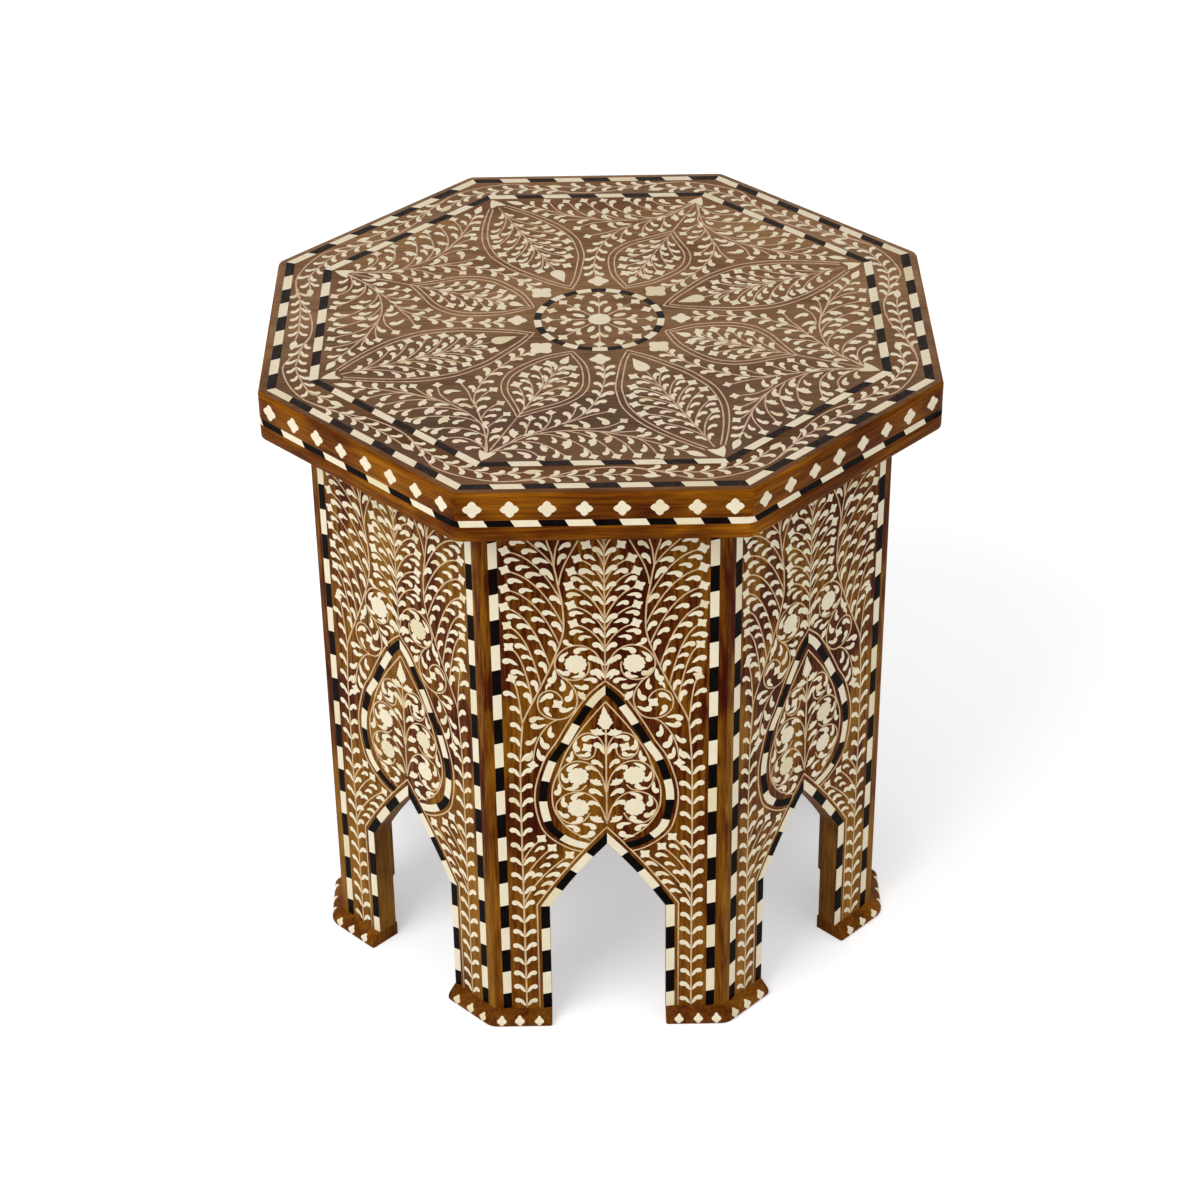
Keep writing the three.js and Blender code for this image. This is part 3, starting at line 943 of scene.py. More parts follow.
panelDesign = {
    "marginWide": 6.6, "stringWide": 5.6, "blockLong": 20.1, "firstJoint": 404, "slant": 1.3,
    "archSpring": 100, "archRise": 56, "archBulge": 1.8, "archStringWide": 5.6, "archLineInset": 8.7,
    "archSteps": 8, "archBlocks": 4, "legBlock": 20, "shoulderRise": 1.5, "seatGap": 1.6, "legLineFoot": 0.3,
    "trunkStart": 1, "trunkEnd": 3,
    "medallion": [(0, 293.7), (-10.2, 284.1), (-18.3, 272.1), (-26.3, 258), (-33.4, 243.9), (-40.4, 232.3),
                  (-45.4, 218.2), (-48.4, 205.1), (-49, 193.1), (-47.4, 181), (-43.9, 168.9),
                  (-36.4, 159.9), (-26.3, 152.8), (-17.2, 149.6)],
    "medallionLine": [(0, 276.6), (-10.2, 263), (-18.3, 250.9), (-27.3, 234.3), (-32.3, 219.2),
                      (-36.4, 207.1), (-37.1, 195.1), (-35.4, 185), (-30.3, 175), (-23.3, 166.9),
                      (-11.2, 159.2)],
    "medallionString": 5.6, "medallionStringWide": 5.2, "medallionBlocks": 9,
    "sideVine": [(-58.7, 8.3), (-58.7, 60), (-58.7, 110), (-58.7, 167), (-58.5, 210), (-58, 230),
                 (-56.5, 252.4), (-55.5, 261), (-51.5, 271), (-46.9, 281), (-41.9, 292.2), (-36.4, 305.3),
                 (-32, 317.3), (-29.3, 325.1), (-27.3, 334.5), (-27, 342.4), (-27.7, 355.4), (-28.9, 363),
                 (-30.4, 371.4), (-31.5, 379.1), (-32.7, 385.2), (-33.8, 393.6), (-35.4, 399),
                 (-36.9, 404.7), (-38.6, 416), (-40.5, 433)],
    "vineSteps": 5,
    # star's place, and the height at which its branch leaves the vine
    "outerStars": [(-64.5, 397.8, 357), (-65.1, 382.7, 338), (-65.6, 368.2, 323), (-66, 353.6, 305),
                   (-65, 338.5, 290), (-64.5, 320.9, 277), (-64.5, 294.7, 258)],
    "outerTip": (3.6, -1.2), "outerBow": (0.42, 0.86),
    "axilLeaves": [275.5, 284.9, 300.2, 317.4, 333.3, 355.4], "axilSpread": 44,
    "treeStars": [(-20.5, 340.5, 320), (-21.6, 355, 334), (-22.8, 369.9, 343), (-21.2, 381.4, 358),
                  (-17.6, 391.3, 371.4), (-11.7, 401.3, 384.4), (-14, 413, 397), (-13, 425.5, 409)],
    "treeTip": (3.2, -1.8), "treeBow": (0.38, 0.8),
    "treeLeaves": [296.1, 306.4, 317.5, 328.7, 340.5, 354.6, 366, 378.3, 392.9, 405, 417],
    "treeLeafSize": 0.96,
    "pairFirst": 10.1, "pairEvery": 12.81, "pairLastOuter": 255, "pairLastInner": 236,
    "pairSpread": 47, "pairSize": 0.98,
    "spandrelStars": [(-44.9, 161.4, 139.6), (-37.9, 153.3, 121.5), (-26.3, 146.8, 103.4)],
    "spandrelTip": (-2.6, -2.6), "spandrelBow": (0.26, 0.55),
}
# stems beside the vine's upper end, and the single leaves on them and on the vine
crownDesign = {
    "stems": [
        [(-32.7, 385.2), (-38, 392.8), (-43.4, 399), (-49.1, 404.7), (-56, 413), (-60, 422)],
        [(-32.7, 385.2), (-31.9, 393.6), (-31.2, 399), (-29.6, 404.7), (-27.5, 418), (-26.5, 432)],
        [(-29.6, 370.7), (-28.9, 376), (-27.3, 382.1), (-25, 388.3), (-21.2, 395.9), (-16.6, 405.1)],
    ],
    "leaves": {
        ("leaf", -1): [(-51, 403.4, -60.8, 403.7), (-43.4, 396.3, -53.6, 397), (-35.7, 387.9, -45.9, 390.2),
                       (-36.4, 397.3, -43.9, 403.2), (-33.1, 374.5, -40.7, 382.9)],
        ("leaf", 1): [(-29.5, 397.8, -22.1, 403.2), (-30.2, 386.4, -25, 394.4)],
    },
}
# tail and head of every leaf on the outer branches, the middle tree's branches and beside the arch
branchLeaves = {
    ("leaf", -1): [
        (-54.7, 390.3, -64.4, 389.9), (-48.5, 384.9, -57.6, 384.1), (-40.7, 378.3, -51.2, 377.9),
        (-35.7, 368.4, -44.8, 370.9), (-53.1, 372.9, -63, 374.2), (-46.7, 366.3, -56.1, 366.6),
        (-38.8, 357, -46.9, 358.9), (-32, 346.5, -40.9, 350.2), (-56.1, 360.1, -64.4, 361.1),
        (-46.5, 351, -55.4, 353.1), (-39.4, 341.5, -47.9, 344.4), (-34.7, 330.1, -43.1, 335.3),
        (-54.7, 344.8, -64.3, 346.9), (-47.9, 336.5, -57.6, 338.6), (-42.7, 325.8, -51, 329.9),
        (-38.6, 313.3, -46.5, 319.1), (-57.4, 329.1, -67.6, 330.3), (-51, 319.5, -59.5, 323.5),
        (-48.1, 311.7, -55.3, 315), (-45, 300.9, -52.4, 305.9), (-58, 307.5, -67.2, 311.7),
        (-53.9, 299.3, -63.6, 302.2), (-51.3, 288.7, -59.4, 293.2), (-59.4, 280.6, -67.6, 286),
        (-57.2, 267.3, -64.1, 274.3),
        (-5.5, 389.3, -12.9, 392.8), (-6.1, 378.3, -15.8, 381.6), (-13.3, 371.9, -21.2, 375.8),
        (-7.1, 365.9, -15.8, 368.6), (-15, 362.2, -24.5, 361.8), (-8, 353.9, -16.2, 356.4),
        (-13.8, 348.1, -23.5, 347.3), (-6.3, 340.4, -15.8, 342.3), (-14.2, 333.6, -23.7, 332.4),
        (-8.8, 329.1, -17.9, 327.8),
    ],
    ("leaf", 1): [
        (-50.2, 149.7, -43.1, 154), (-42.3, 143.8, -33.6, 146.2), (-47.2, 135.8, -39.8, 139),
        (-52.8, 127, -45.1, 131.2), (-35.3, 135.8, -26.9, 139), (-42.9, 127.6, -33.2, 129.9),
        (-46.6, 119.5, -38.2, 122.7), (-51.6, 111.4, -43.1, 114.6),
    ],
}
scrollDesign = {
    "upper": [(0, 295), (-2.2, 306.3), (-6.2, 316.3), (-15.2, 322.4), (-24.3, 321.4), (-30.3, 316.3),
              (-33.4, 309.3), (-32.3, 302.2), (-28.3, 297.2), (-22.3, 294.7), (-16.2, 295.7),
              (-11.7, 300.2), (-10.5, 306.3), (-11.2, 309.3)],
    "upperRosette": (-19.5, 307.6, 0.2, 1.1),       # across, up, turn and size
    "outer": [(-28.3, 296.7), (-24.3, 293.2), (-20.3, 286.1), (-18.8, 279.1), (-20.3, 271.1),
              (-25.3, 264.5), (-32.3, 262.5), (-39.4, 264.5), (-44.4, 270), (-45.4, 277.1),
              (-43.4, 283.1), (-38.4, 286.3), (-33.4, 285.1), (-29.8, 281.1), (-28.8, 278.1)],
    "outerStar": (-32.1, 275.6, -0.9),
    "hanging": [(-32.3, 262.5), (-37.4, 259.5), (-42.4, 252.9), (-45.9, 246), (-48.4, 237.3),
                (-49.5, 228.3)],
    "leaves": {
        ("leaf", -1): [(-3.7, 307.8, -11.2, 314.1), (-2.8, 295.1, -9.1, 301.9), (-20.9, 290.7, -11.2, 288.5),
                       (-11, 319.7, -21.1, 317.4), (-24.6, 317.4, -30, 309.2), (-32.2, 304, -24.2, 299),
                       (-22.1, 296.8, -13.2, 300.2), (-41.2, 263.4, -51.8, 262.1), (-37, 257.2, -36, 247.1),
                       (-44.1, 248.5, -39.4, 238.5), (-46.1, 238.3, -42.7, 228)],
        ("leaf", 1): [(-20.1, 322.2, -27.3, 327.1), (-14.3, 294.8, -5.4, 293.2), (-33.7, 303.1, -37.5, 292.9),
                      (-39.9, 286.8, -36.6, 292.6), (-29.2, 295.4, -29.4, 286), (-22.1, 287.1, -26.4, 277.7),
                      (-21.3, 272.5, -31.1, 269.6), (-36.2, 264.8, -41.2, 272.9), (-44.1, 277, -35.7, 283.3),
                      (-39.9, 258.4, -50.1, 256.8), (-46.6, 248.5, -54, 241.9), (-49.9, 236.9, -54, 228.6)],
        ("trefoil", -1): [(-18.4, 285.5, -14.7, 277.7)],
    },
}
heartDesign = {
    "stem": [(0, 255), (0, 173.9)],
    "cypressBase": 254.4,
    "top": [(-0.7, 232.3), (-1.7, 240.4), (-5.2, 247.4), (-11.2, 250.9), (-17.3, 248.9), (-21.3, 242.4),
            (-21.3, 235.3), (-17.3, 230.3), (-12.2, 229.1), (-8.2, 232.3), (-6.7, 238.3)],
    "topStar": (-12.7, 238.8, -2.6),
    "middle": [(-0.4, 201.1), (-2.7, 213.2), (-8.2, 222.2), (-15.2, 226.8), (-23.3, 226.8),
               (-30.3, 221.2), (-32.3, 213.2), (-29.3, 205.1), (-23.3, 202.6), (-17.3, 203.1),
               (-13.7, 207.1)],
    "middleRosette": (-19.1, 214.7, 0.5, 1.02),
    "low": [(-0.4, 175.9), (-2.7, 185), (-7.2, 194.1), (-13.2, 199.6), (-21.3, 201.1), (-29.3, 198.1),
            (-34.4, 191), (-33.4, 183), (-28.3, 175.9), (-21.3, 173.9), (-15.2, 177), (-11.7, 183)],
    "lowRosette": (-19.3, 187.8, 0.1, 1.02),
    "leaves": {
        ("leaf", -1): [(-6, 247.2, -15.9, 245.2), (-20.1, 245.6, -18.8, 235.5), (-19.2, 232.8, -10.7, 233.6),
                       (-1.4, 233.6, -7.9, 242.1), (-2, 221.6, -9.5, 228.5), (-5.8, 218.8, -14.6, 222.9),
                       (-18.8, 225.4, -25.9, 219.2), (-30.7, 217.8, -26.9, 209.9), (-28.4, 203.7, -18.8, 206.9),
                       (-2.6, 197.6, -11.6, 202.5), (-15.4, 200.2, -24.2, 194.7), (-3.9, 188.8, -12.5, 192.8),
                       (-29.3, 197.9, -29, 188.7), (-33.3, 185.7, -26.2, 178.8), (-25.3, 174.2, -16.3, 179.4),
                       (-18.8, 162.4, -8.4, 166.2)],
        ("leaf", 1): [(-23, 236.1, -25.9, 227), (-32.2, 209, -33.9, 199.3), (-16.5, 173.9, -7.3, 170.4),
                      (-28, 172.7, -19.4, 167.4)],
        ("trefoil", 1): [(-2.6, 206.9, -11.7, 209.4), (-2.2, 175.2, -11.6, 178.6), (-0.4, 249.9, -10.3, 250.7)],
    },
}


# the left half of the arch from its shoulder to its point, a distance outside the opening
def archOutline(offset):
    d = panelDesign
    slope = d["archRise"] / archHalf
    apex = d["archSpring"] + d["archRise"] + offset * math.hypot(1, slope)
    shoulder = (-archHalf - offset, apex - slope * (archHalf + offset))
    lean = math.hypot(archHalf, d["archRise"])
    middle = (shoulder[0] / 2 - d["archBulge"] * d["archRise"] / lean * 2,
              (shoulder[1] + apex) / 2 + d["archBulge"] * archHalf / lean * 2)
    return quadratic(shoulder, middle, (0, apex), d["archSteps"])


def drawPanelLeft():
    d, s, h = panelDesign, scrollDesign, heartDesign
    drawing = newDrawing()
    bow = archOutline(d["archLineInset"])
    addStem(drawing, [(bow[0][0], panelFoot + d["legLineFoot"]), *bow])
    addStem(drawing, smoothLine(d["medallion"]))
    addStem(drawing, smoothLine(d["medallionLine"]))

    vine = addStem(drawing, smoothLine(d["sideVine"], d["vineSteps"]), "vine")
    for x, y, rootHeight in d["outerStars"]:
        addFlower(drawing, atHeight(vine, rootHeight), x, y, d["outerTip"], d["outerBow"])
    for points in crownDesign["stems"]:
        addStem(drawing, smoothLine(points, d["vineSteps"]))
    for leaves in (crownDesign["leaves"], branchLeaves):
        addPlaced(drawing, leaves)
    for height in d["axilLeaves"]:
        addLeaf(drawing, vine, runTo(vine, height), -1, d["axilSpread"], 1)

    height = d["pairFirst"]
    while height < d["pairLastOuter"]:
        for side in (-1, 1) if height < d["pairLastInner"] else (-1,):
            addLeaf(drawing, vine, runTo(vine, height), side, d["pairSpread"], d["pairSize"])
        height += d["pairEvery"]

    for x, y, rootHeight in d["spandrelStars"]:
        addFlower(drawing, atHeight(vine, rootHeight), x, y, d["spandrelTip"], d["spandrelBow"])
    for x, y, rootHeight in d["treeStars"]:
        addFlower(drawing, (0, rootHeight), x, y, d["treeTip"], d["treeBow"])
    way = math.pi / 2 + math.radians(d["pairSpread"])
    for height in d["treeLeaves"]:
        drawing["motifs"].append(("leaf", -inlay["leafGap"], height, way, d["treeLeafSize"], -1))

    for name in ("upper", "outer", "hanging"):
        addStem(drawing, smoothLine(s[name]))
    addStar(drawing, drawing["stems"][-1][0])
    for place in (s["upperRosette"], h["middleRosette"], h["lowRosette"]):
        drawing["motifs"].append(("rosette", *place, 1))
    for place in (s["outerStar"], h["topStar"]):
        addCentredStar(drawing, *place)
    for name in ("top", "middle", "low"):
        addStem(drawing, smoothLine(h[name]))
    addPlaced(drawing, s["leaves"])
    addPlaced(drawing, h["leaves"])
    return drawing


def drawPanel():
    left = drawPanelLeft()
    whole = newDrawing()
    addDrawing(whole, left)
    addDrawing(whole, mirrored(left))
    h, d = heartDesign, panelDesign
    addStem(whole, [(0, d["medallion"][0][1] - d["trunkStart"]), (0, panelHead - d["trunkEnd"])], "vine")
    addStem(whole, h["stem"], "vine")
    whole["motifs"].append(("cypress", 0, h["cypressBase"], math.pi / 2, 1, 1))
    return whole


def panelBlocks(heartSwapped, archSwapped):
    d = panelDesign
    blocks, gap = [], inlay["joint"] / 2
    middle = panelHalf - d["marginWide"] - d["stringWide"] / 2
    for x in (-middle, middle):
        low = d["firstJoint"] - math.floor((d["firstJoint"] - panelFoot) / d["blockLong"]) * d["blockLong"]
        lengths = [low - panelFoot] + [d["blockLong"]] * round((d["firstJoint"] - low) / d["blockLong"])
        lengths += [d["blockLong"], panelHead - d["firstJoint"] - d["blockLong"]]
        addChecker(blocks, [(x, panelFoot), (x, panelHead)], d["stringWide"], lengths,
                   len(lengths) % 2 == 1, -d["slant"])
    bow = archOutline(d["archStringWide"] / 2 + inlay["blockGlueAndShade"])
    footX = bow[0][0]
    shoulder = d["archSpring"] + d["shoulderRise"]
    leg = shoulder - panelFoot
    legCount = math.ceil(leg / d["legBlock"])
    heart = [p for p in shifted(smoothLine(d["medallion"]), d["medallionString"]) if p[0] < 0]
    lead = math.dist(heart[0], heart[1]) * heart[0][0] / (heart[1][0] - heart[0][0])
    heart = lengthened(heart, lead, 0)
    slope = d["archRise"] / archHalf
    seat = d["archSpring"] + d["archRise"] + (d["archLineInset"] + d["seatGap"]) * math.hypot(1, slope)
    for side in (1, -1):
        line = [(side * x, y) for x, y in bow[::-1]]
        addMitred(blocks, line, d["archStringWide"], d["archBlocks"], (side < 0) != archSwapped,
                  [((side, 0), -gap), ((0, -1), -shoulder - gap)])
        line = [(side * footX, shoulder), (side * footX, panelFoot)]
        lengths = [d["legBlock"]] * (legCount - 1) + [leg - d["legBlock"] * (legCount - 1)]
        addChecker(blocks, line, d["archStringWide"], lengths, (side < 0) != archSwapped, -d["slant"])
        line = [(side * x, y) for x, y in heart]
        addMitred(blocks, line, d["medallionStringWide"], d["medallionBlocks"], (side > 0) != heartSwapped,
                  [((side, 0), -gap), ((side * slope, -1), -seat)])
    return blocks


panelDrawing = drawPanel()
panelStems = stemMesh("panelStems", panelDrawing["stems"])
dice = random.Random(11)
for k in range(sideCount):
    face = faceOfSide(k, baseApothem)
    layMesh(f"panel_stems_{k + 1}", panelStems, face, "bone", sideStemWood, glueAndShadeLine)
    cutBlocks = panelBlocks(k % 2 == 1, k % 4 == 3)
    for kind, white, material in (("bone", True, sideBone), ("ebony", False, sideEbony)):
        mesh = blockMesh("panelBlocks", [outline for outline, bone in cutBlocks if bone == white], dice)
        layMesh(f"panel_{kind}_blocks_{k + 1}", mesh, face, kind, material, glueAndShadeLine)
    layMotifs(f"panel_leaves_{k + 1}", panelDrawing, face, random.Random(100 + k), sideBone, "bone")
print("panels ready:", len(panelDrawing["motifs"]), "motifs and", len(panelDrawing["stems"]), "stems a side")


# The top

topDesign = {
    "scale": 0.9935, "outerInset": 6.3, "innerInset": 33.8, "stringWide": 5.6,
    "outerBlocks": 9, "innerBlocks": 8, "slant": 2.8,
    "edgeDrop": 20, "edgeWide": 4.4, "edgeBlocks": (11, 9), "edgeSlant": 2.4, "edgeCorner": 10,
    "edgeDiamonds": (11.9, 35.6, 59.3, 83), "edgeDiamondDrop": 11.7,
    "edgeSteps": 400, "edgeStep": 2.4,
    "petalGap": 4.3, "gapAtEnds": 0.68, "petalTip": (2.6, -2.6), "petalBow": (0.36, 0.66), "petalStar": 0.8,
    "pairAside": 1.1, "pairSpread": 29, "pairSize": 0.86,
    "ringRadius": 42.6, "ringWide": 4.6, "ringBlocks": 26, "ringSteps": 208, "ringStep": 2.6,
    "rayFirst": 6.5, "rayLast": 32, "rayLeaves": 18.5, "rayLeafSpread": 34, "rayLeafSize": 0.95,
    "smallStars": 35.5, "smallStarSize": 0.77, "ovals": 15.3, "scallops": 56.5, "scallopSizes": (1.22, 1.5),
    "cornerPiece": 205, "cornerBack": 1.4, "cornerSize": 0.95,
}
edgeApothem = topApothem - inlay["proud"]
edgeHalf = (edgeApothem - topDesign["edgeCorner"]) * halfSide       # half the flat part of a side
edgePeriod = 2 * edgeHalf + topDesign["edgeCorner"] * sideTurn

# across and outwards from the middle; a star is at (across, outwards) and its branch starts on the axis
bigPetal = {
    "line": [(0, 48.6), (9.8, 60.8), (20.1, 78.1), (27.6, 92.3), (31.6, 105.8), (33.9, 117.7), (33.5, 129.8),
             (31.2, 142.5), (26.7, 155.2), (21, 167.3), (14.8, 178.4), (7, 191)],
    "stars": [(11, 84, 105), (16.4, 96.4, 120), (21.6, 106.9, 132), (24.6, 118.1, 145.5), (24.6, 131.3, 160),
              (19.7, 146.7, 175)],
    "stem": (190, 80), "drop": ("drop", 80, 1.0), "pairs": [93.3, 109.5, 123.7, 135.8, 148.8, 161.6, 180.4],
    "leaves": [(-4.1, 96.4, -12.4, 91.3), (-10.1, 105.8, -18.6, 102.1), (-5, 114.4, -11.8, 108.7),
               (-11.2, 118, -19.5, 113.6), (-5.6, 125.4, -13.1, 120.9), (-12.8, 126.2, -21.5, 125),
               (-6.2, 136.7, -14.5, 133.3), (-15.6, 140.1, -23.8, 137.7), (-5.6, 149.4, -13.9, 146.1),
               (-11.2, 156.4, -19.9, 153.7), (-5, 167, -13.2, 163.1)],
}
smallPetal = {
    "line": [(0, 48.8), (10.5, 58), (17.5, 66), (25, 80), (29, 93), (28, 106), (22.5, 118), (14, 128),
             (7, 136), (0, 145)],
    "stars": [(8.6, 71, 87.6), (13.9, 79.7, 101.7), (17.6, 90.9, 119.5), (17.8, 104.9, 134.5)],
    "stem": (144, 67.5), "drop": ("drop", 67.5, 0.6), "pairs": [77.8, 94.5, 104.5, 122],
    "leaves": [(-1.9, 82.5, -8.9, 76.9), (-5.4, 92, -12.8, 88.7), (-9.4, 99.9, -17.2, 97.4),
               (-2.7, 111.3, -10.6, 105.6), (-7.7, 116.5, -16, 113.3), (-2.3, 127, -10, 121.9)],
}
# the spray in the field over the front side
sprayDesign = {
    "starBack": 3.2, "starSize": 0.68,
    "mains": [
        [(-76, -184), (-72.3, -179.7), (-60.6, -167), (-52.5, -157.8), (-40.3, -152.2), (-27.1, -143.5),
         (-16.9, -136.4), (-8.8, -125.3), (-1.7, -109), (1.4, -94.8), (2.9, -79.5), (1.5, -64)],
        [(-76, -184), (-71.6, -177.1), (-58.4, -165.7), (-44.1, -156.1), (-23.7, -152), (-4.6, -153.2),
         (16.9, -160.3), (36.1, -169.9), (54, -180.1)],
    ],
    "arcs": [
        ([(-76, -184), (-69.8, -177.1), (-57.6, -174.6), (-47.4, -177.1)], (-39.3, -186)),
        ([(-58.6, -165.4), (-47.4, -165.4), (-37.3, -170), (-27.1, -180.2)], (-22.5, -186)),
        ([(-43.4, -155.2), (-31.2, -157.8), (-19, -165.9), (-9.8, -176.1)], (-5.2, -185.4)),
        ([(-23, -152.2), (-10.8, -157.8), (-1.7, -166.9), (5.4, -178.1)], (9.2, -185.4)),
        ([(-1.7, -153.7), (8.5, -161.8), (15.6, -171), (19.7, -180.1)], (22.3, -184.9)),
        ([(19.7, -160.6), (26.7, -166.6), (31.7, -174.5), (34.2, -181)], (36.7, -186)),
        ([(-26, -142.5), (-10.8, -149.7), (1.4, -148.6), (7.5, -145.6)], (14.6, -140.5)),
        ([(-4.6, -153.2), (9.5, -154.7), (18.5, -154.2)], (25.3, -152.7)),
        ([(-2, -153.6), (9.8, -157.6), (22.7, -161.1), (30.5, -163.1)], (37.2, -163.1)),
        ([(-27.1, -143.5), (-16.9, -138.5), (-6.8, -132.4), (1.4, -129.3)], (7, -126.8)),
        ([(-40.3, -152.7), (-35.2, -143.5), (-33.2, -134.4)], (-33.2, -128.3)),
        ([(-50, -156), (-48.6, -146), (-47.4, -141)], (-46.9, -135.4)),
        ([(-23, -141), (-19, -132), (-17.2, -125)], (-16.9, -119.1)),
    ],
    "leaves": {
        ("leaf", 1): [(3.3, -73.1, 9.7, -66), (2.8, -83.3, 9.3, -75.7), (2, -95.3, 8.8, -89.1),
                      (-0.7, -109.2, 7.7, -102), (-4.6, -119.3, 3.7, -113.1), (-10.3, -130.7, -2, -125.1),
                      (-49.6, -162.4, -41, -161.7), (-52.3, -165.7, -46.3, -174), (-66, -177.7, -59.2, -184.7),
                      (-55, -178, -47, -185.1), (-32.7, -159.7, -30.7, -168.1), (-30.3, -153.7, -21.2, -160.1),
                      (-15.6, -158.4, -12.7, -167.1), (-11, -153.5, -3.6, -160.7),
                      (-11.4, -174.4, -12.2, -185.5), (3, -174.4, 1.4, -184.1), (13.7, -170.8, 12.6, -180.8),
                      (16.4, -161.1, 20.1, -170), (27, -170.8, 26, -180.1), (-30, -176.1, -30.6, -186.8),
                      (36.4, -172.1, 39.3, -180.1), (46, -177.5, 48.4, -185.5), (-14.6, -139.7, -9, -148.7),
                      (-3, -135.3, 3.7, -145.1), (-25.2, -145.7, -15, -147.7)],
        ("leaf", -1): [(2.4, -73.7, -3.6, -66), (2, -83.3, -1.9, -75.3), (1, -96.1, -4.3, -88.1),
                       (-0.7, -107.7, -6, -99.3), (-5.6, -118.7, -9.2, -110), (-11.9, -130.7, -13.2, -121.7),
                       (-20.7, -137.7, -23.6, -127.3), (-30.6, -147.1, -28.4, -137.5),
                       (-35.6, -140.7, -39.9, -133.1), (-39.6, -149.3, -43.6, -141.5),
                       (-49.6, -148.7, -53, -140.4), (-64.3, -168.1, -62.7, -158), (-63.6, -174, -55.1, -170.3),
                       (-51.4, -158, -44.3, -151.6), (22.4, -160.4, 31.6, -156.4), (38.4, -171.7, 47, -167.9),
                       (46, -176.7, 56, -174), (5.7, -153.7, 14.2, -147.7)],
        ("trefoil", 1): [(-57, -160.1, -59.9, -150), (-21, -163.1, -21.9, -174.8), (-5, -161.7, -6, -172.7),
                         (5.7, -158.8, 4.6, -168.7)],
        ("trefoil", -1): [(-39.6, -169.7, -38.3, -179.3)],
        ("lance", 1): [(54.4, -180.4, 66.4, -186.4)],
    },
}
# along a side and out from the middle, growing from left to right as seen from that side
borderDesign = {
    "wave": [(-64, 213.6), (-45, 211.8), (-30, 207), (-14, 200.6), (5, 197.6), (22, 198.8), (38, 204.6),
             (52, 210.8), (64, 213.6)],
    "cornerRadius": 225,
    "outerStem": [(-57, 213.4), (-45, 210.4), (-30, 208.2), (-10, 207), (10, 206.6), (25, 208)],
    "outerPairs": (12, 11.4, 3),
    "innerStem": [(20, 198.7), (33, 202.4), (48, 204), (66, 204.4)],
    "innerStemNext": [(-70, 204.4), (-62, 204), (-50.5, 202.6)],
    "innerPairs": (9, 11.2, 3),         # first pair, distance to the next, clear end
    "pairSpread": 40, "pairSize": 0.9,
}


def scaled(points):
    return [(x * topDesign["scale"], y * topDesign["scale"]) for x, y in points]


# a petal is drawn growing up the page: the corner of the top is at its foot
def drawPetal(petal, doubled):
    half, d, k = newDrawing(), topDesign, topDesign["scale"]
    outline = smoothLine([(-x * k, -y * k) for x, y in petal["line"]])
    addStem(half, outline)
    total, ends, inner, run = lineLength(outline), d["gapAtEnds"], [], 0
    for i, (x, y) in enumerate(shifted(outline, d["petalGap"])):
        run += math.dist(outline[i], outline[max(i - 1, 0)])
        share = ends + (1 - ends) * math.sin(math.pi * run / total)
        fromX, fromY = outline[i]
        inner.append((fromX + (x - fromX) * share, fromY + (y - fromY) * share))
    inner = [p for p in inner if p[0] < -0.5]
    if not doubled:
        inner.append((0, inner[-1][1] - 2))
    addStem(half, [(0, inner[0][1] + 1.2 * abs(inner[0][0])), *inner])
    for across, out, root in petal["stars"]:
        addFlower(half, (0, -root * k), -across * k, -out * k, d["petalTip"], d["petalBow"], d["petalStar"])
    addPlaced(half, {("leaf", -1): [(x, -out, headX, -headOut) for x, out, headX, headOut in petal["leaves"]]})
    way = math.pi / 2 + math.radians(d["pairSpread"])
    for out in petal["pairs"]:
        half["motifs"].append(("leaf", -d["pairAside"], -out * k, way, d["pairSize"], -1))
    whole = newDrawing()
    addDrawing(whole, half)
    addDrawing(whole, mirrored(half))
    foot, head = petal["stem"]
    addStem(whole, [(0, -foot * k), (0, -(foot + head) / 2 * k), (0, -head * k)])
    shape, place, size = petal["drop"]
    whole["motifs"].append((shape, 0, -place * k, math.pi / 2, size, 1))
    if not doubled:
        addStem(whole, [(0, -190 * k), (0, -168 * k), (0, -144 * k)])
    return whole


def drawSpray():
    spray, k = newDrawing(), topDesign["scale"]
    for points in sprayDesign["mains"]:
        addStem(spray, smoothLine(scaled(points)), "spray")
    for points, (x, y) in sprayDesign["arcs"]:
        ax, ay = points[-1]
        reach = math.dist((ax, ay), (x, y))
        short = max(reach - sprayDesign["starBack"], 0.5) / reach
        end = (ax + (x - ax) * short, ay + (y - ay) * short)
        addStar(spray, addStem(spray, smoothLine(scaled([*points, end]))), sprayDesign["starSize"])
    addPlaced(spray, sprayDesign["leaves"], k)
    return spray


